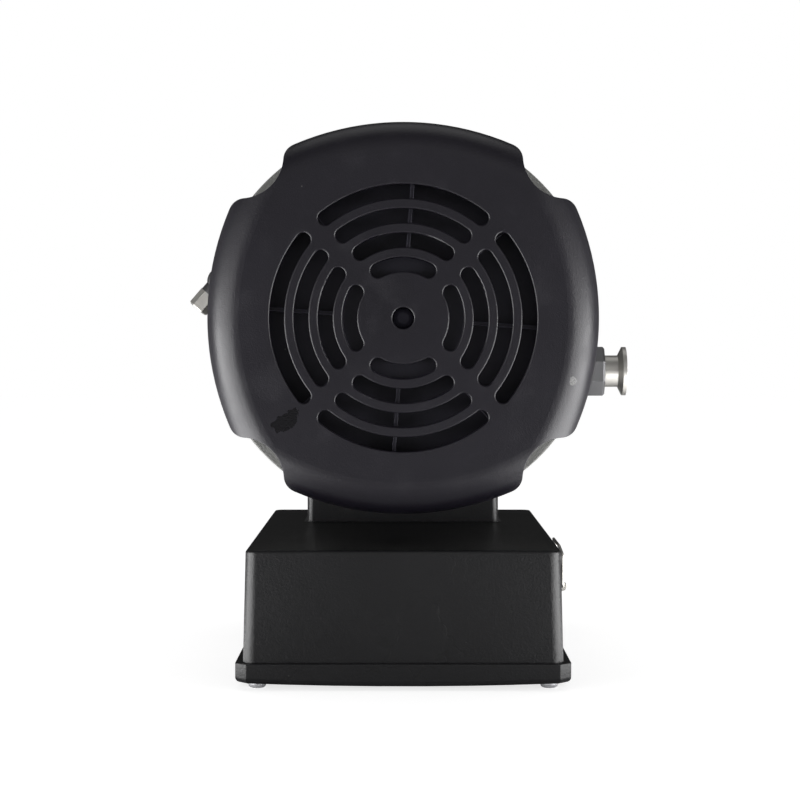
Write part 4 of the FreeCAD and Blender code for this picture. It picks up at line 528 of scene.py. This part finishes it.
# Pale filled plastic of the tip seals
def filled_polymer(name):
    skin = new_finish(name)
    cloud = skin.noise(300.0, 4.0, 0.6)
    tint = skin.colour(cloud, SEAL_DARK, SEAL_LIGHT)
    normal = skin.bump(skin.noise(1700.0, 2.0), 0.1, 0.0002)
    return skin.surface(tint, Roughness=0.5 + cloud * 0.1, Normal=normal)


# Stacked steel sheets with dark gaps between them
def sheet_stack(name):
    skin = new_finish(name)
    _, along, _ = skin.split(skin.place)
    sheets = (along * SHEETS_PER_METRE).fraction()
    gap = 1.0 - sheets.step(0.02, 0.16) * (1.0 - sheets.step(0.84, 0.98))
    cloud = skin.noise(90.0, 3.0)
    tint = skin.colour(cloud, SHEET_DARK, SHEET_LIGHT)
    tint = skin.colour(gap * 0.7, tint, SHEET_GAP)
    normal = skin.bump(1.0 - gap, 0.3, 0.0002)
    return skin.surface(tint, Metallic=0.9, Roughness=0.42 + cloud * 0.12, Normal=normal)


# Copper wire, drawn as fine lines along the windings
def wound_copper(name, base):
    skin = new_finish(name)
    turns = skin.noise(1.0, 2.0, 0.5, skin.vector("MULTIPLY", skin.place, WOUND))
    tint = skin.colour(turns, lighter(base, 0.55), lighter(base, 1.2))
    normal = skin.bump(turns, 0.5, 0.0005)
    return skin.surface(tint, Metallic=0.8, Roughness=0.3 + turns * 0.15, Normal=normal)


# Solder mask with lighter tracks and tinned pads
def circuit_skin(name, base):
    skin = new_finish(name)
    tracks = skin.cells(260.0, feature="DISTANCE_TO_EDGE")
    line = 1.0 - tracks.step(0.03, 0.07)
    cloud = skin.noise(70.0, 3.0)
    tint = skin.colour(cloud, lighter(base, 0.8), lighter(base, 1.15))
    tint = skin.colour(line * 0.55, tint, lighter(base, 1.9))
    pads = skin.specks(330.0, 0.22, 0.16)
    tint = skin.colour(pads, tint, SOLDER)
    normal = skin.bump(line + pads, 0.2, 0.0001)
    return skin.surface(tint, Metallic=pads * 0.9, Roughness=0.35 + cloud * 0.08, Normal=normal)


# A dark blue sleeve, with the can's bare top above it
def capacitor_sleeve(name):
    can_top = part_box("capacitors")[1].z
    skin = new_finish(name)
    cloud = skin.noise(60.0, 3.0)
    tint = skin.colour(cloud, SLEEVE_DARK, SLEEVE_LIGHT)
    _, _, height = skin.split(skin.place)
    top = height.step(can_top - 0.4 * MM, can_top - 0.1 * MM)
    tint = skin.colour(top, tint, CAN_TOP)
    normal = skin.bump(skin.noise(700.0, 2.0), 0.06, 0.0003)
    return skin.surface(tint, Metallic=top * 0.9, Roughness=0.25 + cloud * 0.1, Normal=normal)


# The finish of each material slot in the record
def finishes_by_slot(tones):
    return {
        "shroud_plastic": moulded_plastic("shroud_skin", tones.shroud, marks=True),
        "black_casting": textured_coat("base_coat", tones.coat),
        "cast_grey": sand_cast("cast_skin", tones.casting),
        "machined_alloy": worked_metal("machined_skin", tones.alloy, 0.26, "y", SCROLL_AXIS),
        "stainless": worked_metal("wire_skin", tones.stainless, 0.20),
        "dark_fitting": worked_metal("oxide_skin", tones.oxide, 0.34, depth=0.18, metallic=0.85),
        "fastener": plated_steel("zinc_skin", tones.zinc),
        "steel": worked_metal("ground_skin", tones.steel, 0.22, "y", SHAFT_AXIS),
        "bearing": worked_metal("bearing_skin", tones.steel, 0.14, "y", SHAFT_AXIS, 7000.0, 0.05),
        "laminations": sheet_stack("lamination_skin"),
        "copper": wound_copper("copper_skin", tones.copper),
        "rubber": rubber_skin("rubber_skin"),
        "tip_seal": filled_polymer("seal_skin"),
        "motor_black": motor_paint("motor_skin", tones.motor),
        "fan_plastic": moulded_plastic("fan_skin", tones.fan, 0.6, 0.25),
        "connector_black": moulded_plastic("connector_skin", CONNECTOR_BLACK, 0.8),
        "circuit_board": circuit_skin("board_skin", tones.board),
        "capacitor": capacitor_sleeve("sleeve_skin"),
    }


# Nodes whose finish differs from the others of their slot
def finishes_by_node(tones):
    exhaust = centre_of("exhaust_port")
    inlet = centre_of("inlet_port")
    feet = centre_of("feet")
    return {
        # A darker copy of the stainless: painted shade that tones down the port's bright reflection
        "exhaust_port": worked_metal("exhaust_turned", lighter(tones.stainless, 0.9), 0.26, "x", exhaust,
                                     metallic=0.8),
        "inlet_port": worked_metal("inlet_turned", tones.stainless, 0.20, "z", inlet),
        "power_switch": moulded_plastic("switch_skin", SWITCH_BLACK, 0.5),
        # A lighter copy of the stainless: painted light on the purge cap
        "purge_cap": worked_metal("cap_turned", lighter(tones.stainless, 1.12), 0.24, metallic=0.8),
        # A darker copy of the oxide: painted shade on the purge elbow
        "purge_elbow": worked_metal("elbow_skin", lighter(tones.oxide, 0.8), 0.36, depth=0.2,
                                    metallic=0.85),
        # A lighter copy of the oxide: painted light on the exhaust adapter
        "exhaust_adapter": worked_metal("adapter_skin", lighter(tones.oxide, 1.35), 0.30, "x", exhaust,
                                        2600.0, 0.2, 0.9),
        # Lighter than the fan's plastic: painted light on the screw deep in the shroud's centre hole
        "fan_screw": moulded_plastic("fan_screw_skin", lighter(tones.fan, 1.3), 0.5, 0.12),
        # Lighter than the zinc: painted light on the feet, which mirror the shaded floor under the tray
        "feet": worked_metal("foot_skin", lighter(tones.zinc, 1.5), 0.34, "z", feet, 1800.0, 0.12, 0.5),
    }


def dress(item, material):
    if not item.material_slots:
        item.data.materials.append(material)
    for place in item.material_slots:
        place.material = material


# Mesh pieces

# Adds a piece that rides on a body, fills a material slot, and is shown instead of the nodes named
def finish_piece(name, mesh, material, body, nodes=()):
    piece = bpy.data.objects.new(name, mesh)
    bpy.context.scene.collection.objects.link(piece)
    mesh.materials.append(material)
    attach(piece, body)
    if nodes:
        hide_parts(*nodes)


# Turns a finished bmesh into mesh data and frees it
def mesh_data(name, mesh):
    data = bpy.data.meshes.new(name)
    mesh.normal_update()
    mesh.to_mesh(data)
    mesh.free()
    return data


# A ring of vertices about Z
def ring_of(mesh, radius, height, count):
    ring = []
    for n in range(count):
        angle = math.tau * n / count
        ring.append(mesh.verts.new((radius * math.cos(angle), radius * math.sin(angle), height)))
    return ring


# Faces between two rings of the same number of vertices
def bridge(mesh, lower, upper):
    count = len(lower)
    for n in range(count):
        mesh.faces.new((lower[n], lower[(n + 1) % count], upper[(n + 1) % count], upper[n]))


# Moves all vertices from a number on to where they belong
def put_in_place(mesh, start, place):
    mesh.verts.ensure_lookup_table()
    bmesh.ops.transform(mesh, matrix=place, verts=mesh.verts[start:])


# A cap screw along +Z: its head's underside is at 0 and its shank reaches down
def cap_screw(mesh, place, head_radius, head_height, shank_radius, shank_length, key, knurled=False):
    chamfer = bpy.context.scene.pump_sizes.head_chamfer
    under_chamfer = chamfer * 0.4
    lead = shank_radius * 0.3
    tip_radius = shank_radius * 0.8
    start = len(mesh.verts)
    tip = ring_of(mesh, tip_radius, -shank_length, SCREW_SIDES)
    thread_end = ring_of(mesh, shank_radius, -shank_length + lead, SCREW_SIDES)
    neck = ring_of(mesh, shank_radius, 0.0, SCREW_SIDES)
    under = ring_of(mesh, head_radius - under_chamfer, 0.0, SCREW_SIDES)
    skirt = ring_of(mesh, head_radius, under_chamfer, SCREW_SIDES)
    shoulder = ring_of(mesh, head_radius, head_height - chamfer, SCREW_SIDES)
    if knurled:
        for vert in skirt[1::2] + shoulder[1::2]:
            vert.co.x *= KNURL_VALLEY
            vert.co.y *= KNURL_VALLEY
    top = ring_of(mesh, head_radius - chamfer, head_height, SCREW_SIDES)
    mouth_round = ring_of(mesh, key * SOCKET_MOUTH, head_height, SCREW_SIDES)
    mouth = []
    floor = []
    for n in range(SCREW_SIDES):
        angle = math.tau * n / SCREW_SIDES
        to_flat = math.cos((angle % (math.pi / 3)) - math.pi / 6)
        reach = key / to_flat
        spot = (reach * math.cos(angle), reach * math.sin(angle))
        mouth.append(mesh.verts.new((*spot, head_height - key * SOCKET_BEVEL)))
        floor.append(mesh.verts.new((*spot, head_height * SOCKET_FLOOR)))
    rings = [tip, thread_end, neck, under, skirt, shoulder, top, mouth_round, mouth, floor]
    mesh.faces.new(list(reversed(tip)))
    for lower, upper in zip(rings, rings[1:]):
        bridge(mesh, lower, upper)
    mesh.faces.new(floor)
    put_in_place(mesh, start, place)


# Turns +Z to a direction and moves the origin to a place
def pointing(place, direction, roll=0.0):
    turn = Vector(direction).to_track_quat("Z", "Y").to_matrix().to_4x4()
    return Matrix.Translation(Vector(place)) @ turn @ Matrix.Rotation(roll, 4, "Z")


# One piece for all screws of a node. Each place comes with the direction in which its head points
def screws_piece(name, node, places, **sizes):
    mesh = bmesh.new()
    for number, (place, direction) in enumerate(places):
        cap_screw(mesh, pointing(place, direction, SCREW_TURN * number), **sizes)
    data = mesh_data(name, mesh)
    for face in data.polygons:
        face.use_smooth = True
    data.set_sharp_from_angle(angle=SMOOTH_BELOW)
    finish_piece(name, data, bpy.data.materials["zinc_skin"], "pump", [node])


# Places evenly round the shaft, from a first angle in degrees, at one place along it
def around_shaft(radius, first, count, along):
    places = []
    for number in range(count):
        turn = math.radians(first + 360 / count * number)
        places.append((radius * math.cos(turn), along, AXIS_HEIGHT + radius * math.sin(turn)))
    return places


# Four screws whose heads point away from the shaft and end at a radius from it
def radial_screws(name, node, end_radius, head_height, shank_length, key):
    y = centre_of(node).y
    places = around_shaft(end_radius - head_height, 0, 4, y)
    screws_piece(name, node, [(place, (place[0], 0.0, place[2] - AXIS_HEIGHT)) for place in places],
                 head_radius=3.5 * MM, head_height=head_height, shank_radius=2.0 * MM,
                 shank_length=shank_length, key=key)


# Knurled screws through a flange, with their heads behind it: first angle in degrees, and how many
def flange_screws(name, node, first, count):
    head_radius = 4.2 * MM
    head_height = 4.0 * MM
    low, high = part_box(node)
    seat = high.y - head_height
    reach = (high.x - head_radius) / math.cos(math.radians(first))
    screws_piece(name, node, [(place, (0, 1, 0)) for place in around_shaft(reach, first, count, seat)],
                 head_radius=head_radius, head_height=head_height, shank_radius=2.5 * MM,
                 shank_length=seat - low.y, key=2.0 * MM, knurled=True)


# Operators

class PumpFinishes(bpy.types.Operator):
    """Give every part of the pump its material"""

    bl_idname = "pump.finishes"
    bl_label = "Finishes"

    def execute(self, context):
        tones = context.scene.pump_colours
        by_slot = finishes_by_slot(tones)
        by_node = finishes_by_node(tones)
        slots = {row["node"]: row["material_slot"] for row in frame["record"]["subparts"]}
        for name, item in frame["nodes"].items():
            dress(item, by_node.get(name) or by_slot[slots[name]])
        return {"FINISHED"}


class PumpFasteners(bpy.types.Operator):
    """Build the socket-head screws of the shroud, housing, motor, cowl, tray and socket"""

    bl_idname = "pump.fasteners"
    bl_label = "Fasteners"

    def execute(self, context):
        shroud_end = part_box("shroud_screws")[1].z - AXIS_HEIGHT
        cowl_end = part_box("cowl_screws")[1].x
        radial_screws("shroud_cap_screws", "shroud_screws", shroud_end, 2.0 * MM, 9.8 * MM, 1.45 * MM)
        flange_screws("housing_cap_screws", "housing_bolts", 22.5, 8)
        flange_screws("motor_cap_screws", "motor_bolts", 45, 4)
        radial_screws("cowl_cap_screws", "cowl_screws", cowl_end, 1.8 * MM, 7.5 * MM, 1.3 * MM)
        self.tray_screws(4.0 * MM, 2.6 * MM)
        self.inlet_screws(2.6 * MM, 1.6 * MM)
        return {"FINISHED"}

    # Six screws that hold the tray from below
    def tray_screws(self, head_radius, head_height):
        low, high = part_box("tray_screws")
        x = high.x - head_radius
        top = low.z + head_height
        rows = (low.y + head_radius, (low.y + high.y) / 2, high.y - head_radius)
        screws_piece("tray_cap_screws", "tray_screws",
                     [((side * x, y, top), (0, 0, -1)) for side in (-1, 1) for y in rows],
                     head_radius=head_radius, head_height=head_height, shank_radius=2.0 * MM,
                     shank_length=high.z - top, key=1.7 * MM)

    # Two screws beside the mains socket
    def inlet_screws(self, head_radius, head_height):
        low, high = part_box("inlet_screws")
        x = high.x - head_height
        z = (low.z + high.z) / 2
        screws_piece("socket_screws", "inlet_screws",
                     [((x, y, z), (1, 0, 0)) for y in (low.y + head_radius, high.y - head_radius)],
                     head_radius=head_radius, head_height=head_height, shank_radius=1.5 * MM,
                     shank_length=x - low.x, key=1.0 * MM)


class PumpConnectorDetails(bpy.types.Operator):
    """Build the contact field of the remote connector"""

    bl_idname = "pump.connector_details"
    bl_label = "Connector details"

    def execute(self, context):
        low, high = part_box("remote_connector")
        middle = (low + high) / 2
        x = high.x - CONTACT_SINK
        mesh = bmesh.new()
        for count, level in CONTACT_ROWS:
            for number in range(count):
                y = middle.y + (number - (count - 1) / 2) * CONTACT_PITCH
                self.contact(mesh, pointing((x, y, middle.z + level), (1, 0, 0)))
        material = worked_metal("contact_skin", GOLD, 0.2)
        finish_piece("remote_contacts", mesh_data("remote_contacts", mesh), material, "pump")
        return {"FINISHED"}

    # A short sleeve with a hole for the pin
    def contact(self, mesh, place):
        start = len(mesh.verts)
        outer = ring_of(mesh, 0.9 * MM, 0.0, CONTACT_SIDES)
        lip = ring_of(mesh, 0.9 * MM, 0.28 * MM, CONTACT_SIDES)
        mouth = ring_of(mesh, 0.55 * MM, 0.28 * MM, CONTACT_SIDES)
        floor = ring_of(mesh, 0.5 * MM, 0.02 * MM, CONTACT_SIDES)
        for lower, upper in ((outer, lip), (lip, mouth), (mouth, floor)):
            bridge(mesh, lower, upper)
        mesh.faces.new(floor)
        mesh.faces.new(list(reversed(outer)))
        put_in_place(mesh, start, place)


# A lamp whose energy gives its face the radiance stated
def soft_box(name, place, aim, width, height, radiance):
    data = bpy.data.lights.new(name, "AREA")
    data.shape = "RECTANGLE"
    data.size = width
    data.size_y = height
    data.energy = radiance * math.pi * width * height
    lamp = bpy.data.objects.new(name, data)
    bpy.context.scene.collection.objects.link(lamp)
    lamp.location = place
    lamp.rotation_euler = (Vector(aim) - Vector(place)).to_track_quat("-Z", "Y").to_euler()


class PumpStage(bpy.types.Operator):
    """Build the floor, the soft boxes, the world and the camera"""

    bl_idname = "pump.stage"
    bl_label = "Stage"

    def execute(self, context):
        scene = context.scene
        scene.view_settings.view_transform = "Standard"
        self.floor(scene)
        for box in SOFT_BOXES:
            soft_box(*box)
        self.world(scene)
        self.camera(scene)
        return {"FINISHED"}

    def floor(self, scene):
        mesh = bmesh.new()
        bmesh.ops.create_grid(mesh, x_segments=2, y_segments=2, size=FLOOR_HALF)
        floor = bpy.data.objects.new("floor", mesh_data("floor", mesh))
        scene.collection.objects.link(floor)
        floor.location.z = -FLOOR_DROP
        floor.data.materials.append(self.floor_paper())

    def camera(self, scene):
        data = bpy.data.cameras.new("camera")
        data.sensor_width = 36.0
        data.lens = scene.pump_sizes.lens
        data.clip_end = 20.0
        camera = bpy.data.objects.new("camera", data)
        scene.collection.objects.link(camera)
        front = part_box("base_box")[0].y
        camera.location = (CAMERA_ACROSS, front - scene.pump_sizes.camera_distance, CAMERA_HEIGHT)
        camera.rotation_euler = (math.radians(90.0 - CAMERA_TILT), 0.0, 0.0)
        scene.camera = camera

    # Nearly white to the camera, so that the shadow shows. Gloss sees the paper lit at both sides
    def floor_paper(self):
        paper = new_finish("floor_paper")
        x, y, _ = paper.split(paper.place)
        fibre = paper.noise(35.0, 3.0)
        tint = paper.colour(fibre, PAPER_DARK, PAPER_LIGHT)
        diffuse = paper.node("ShaderNodeBsdfDiffuse", None, {"Color": tint})
        seen = paper.node("ShaderNodeLightPath", out="Is Camera Ray")
        mirrored = paper.node("ShaderNodeLightPath", out="Is Glossy Ray")
        beside = (x * x).step(0.008, 0.055)
        behind_front = y.step(-0.74, -0.42)
        before_back = 1.0 - y.step(-0.18, 0.12)
        lit_sides = beside * behind_front * before_back * FLOOR_MIRRORED
        level = seen * FLOOR_SEEN + mirrored * lit_sides
        glow = paper.node("ShaderNodeEmission", None, {"Color": WHITE, "Strength": level})
        both = paper.node("ShaderNodeAddShader", None, {0: diffuse, 1: glow})
        paper.node("ShaderNodeOutputMaterial", None, {"Surface": both})
        return paper.owner

    # White to the camera. Gloss sees a dark room with pale screens at both sides and above
    def world(self, scene):
        scene.world = bpy.data.worlds.new("studio")
        room = Finish(scene.world, "Generated")
        x, y, z = room.split(room.place)
        camera = room.node("ShaderNodeLightPath", out="Is Camera Ray")
        glossy = room.node("ShaderNodeLightPath", out="Is Glossy Ray")
        through = room.node("ShaderNodeLightPath", out="Is Transmission Ray")
        white = camera.highest(through)
        sides = x * x * (1.0 - z.step(0.1, 0.7)) * (1.0 - y.step(-0.15, 0.45) * 0.6)
        front = 1.0 - y.step(-0.97, -0.45)
        above = (1.0 - y.step(-0.9, 0.1)) * z.step(0.15, 0.6)
        screens = 0.03 + sides * 0.95 + front * 0.09 + above * (0.16 + x * x * 0.30)
        level = ROOM_LIGHT * (1.0 - glossy) + screens * glossy
        level = level * (1.0 - white) + white
        back = room.node("ShaderNodeBackground", None, {"Color": WHITE, "Strength": level})
        room.node("ShaderNodeOutputWorld", None, {"Surface": back})


class PumpPanel(bpy.types.Panel):
    """Buttons and settings of the pump"""

    bl_idname = "VIEW3D_PT_pump"
    bl_label = "Scroll pump"
    bl_space_type = "VIEW_3D"
    bl_region_type = "UI"
    bl_category = "Pump"

    def draw(self, context):
        for operator in OPERATORS:
            self.layout.operator(operator.bl_idname)
        for group in (context.scene.pump_sizes, context.scene.pump_colours):
            for name in group.bl_rna.properties.keys():
                if name not in ("rna_type", "name"):
                    self.layout.prop(group, name)


OPERATORS = (PumpFinishes, PumpFasteners, PumpConnectorDetails, PumpStage)
CLASSES = (PumpColours, PumpSizes, *OPERATORS, PumpPanel)


def register():
    for item in CLASSES:
        bpy.utils.register_class(item)
    bpy.types.Scene.pump_colours = bpy.props.PointerProperty(type=PumpColours)
    bpy.types.Scene.pump_sizes = bpy.props.PointerProperty(type=PumpSizes)


def unregister():
    del bpy.types.Scene.pump_colours
    del bpy.types.Scene.pump_sizes
    for item in reversed(CLASSES):
        bpy.utils.unregister_class(item)


def main():
    register()
    bpy.ops.pump.finishes()
    bpy.ops.pump.fasteners()
    bpy.ops.pump.connector_details()
    bpy.ops.pump.stage()
    bpy.context.view_layer.update()


if __name__ == "__main__":
    main()
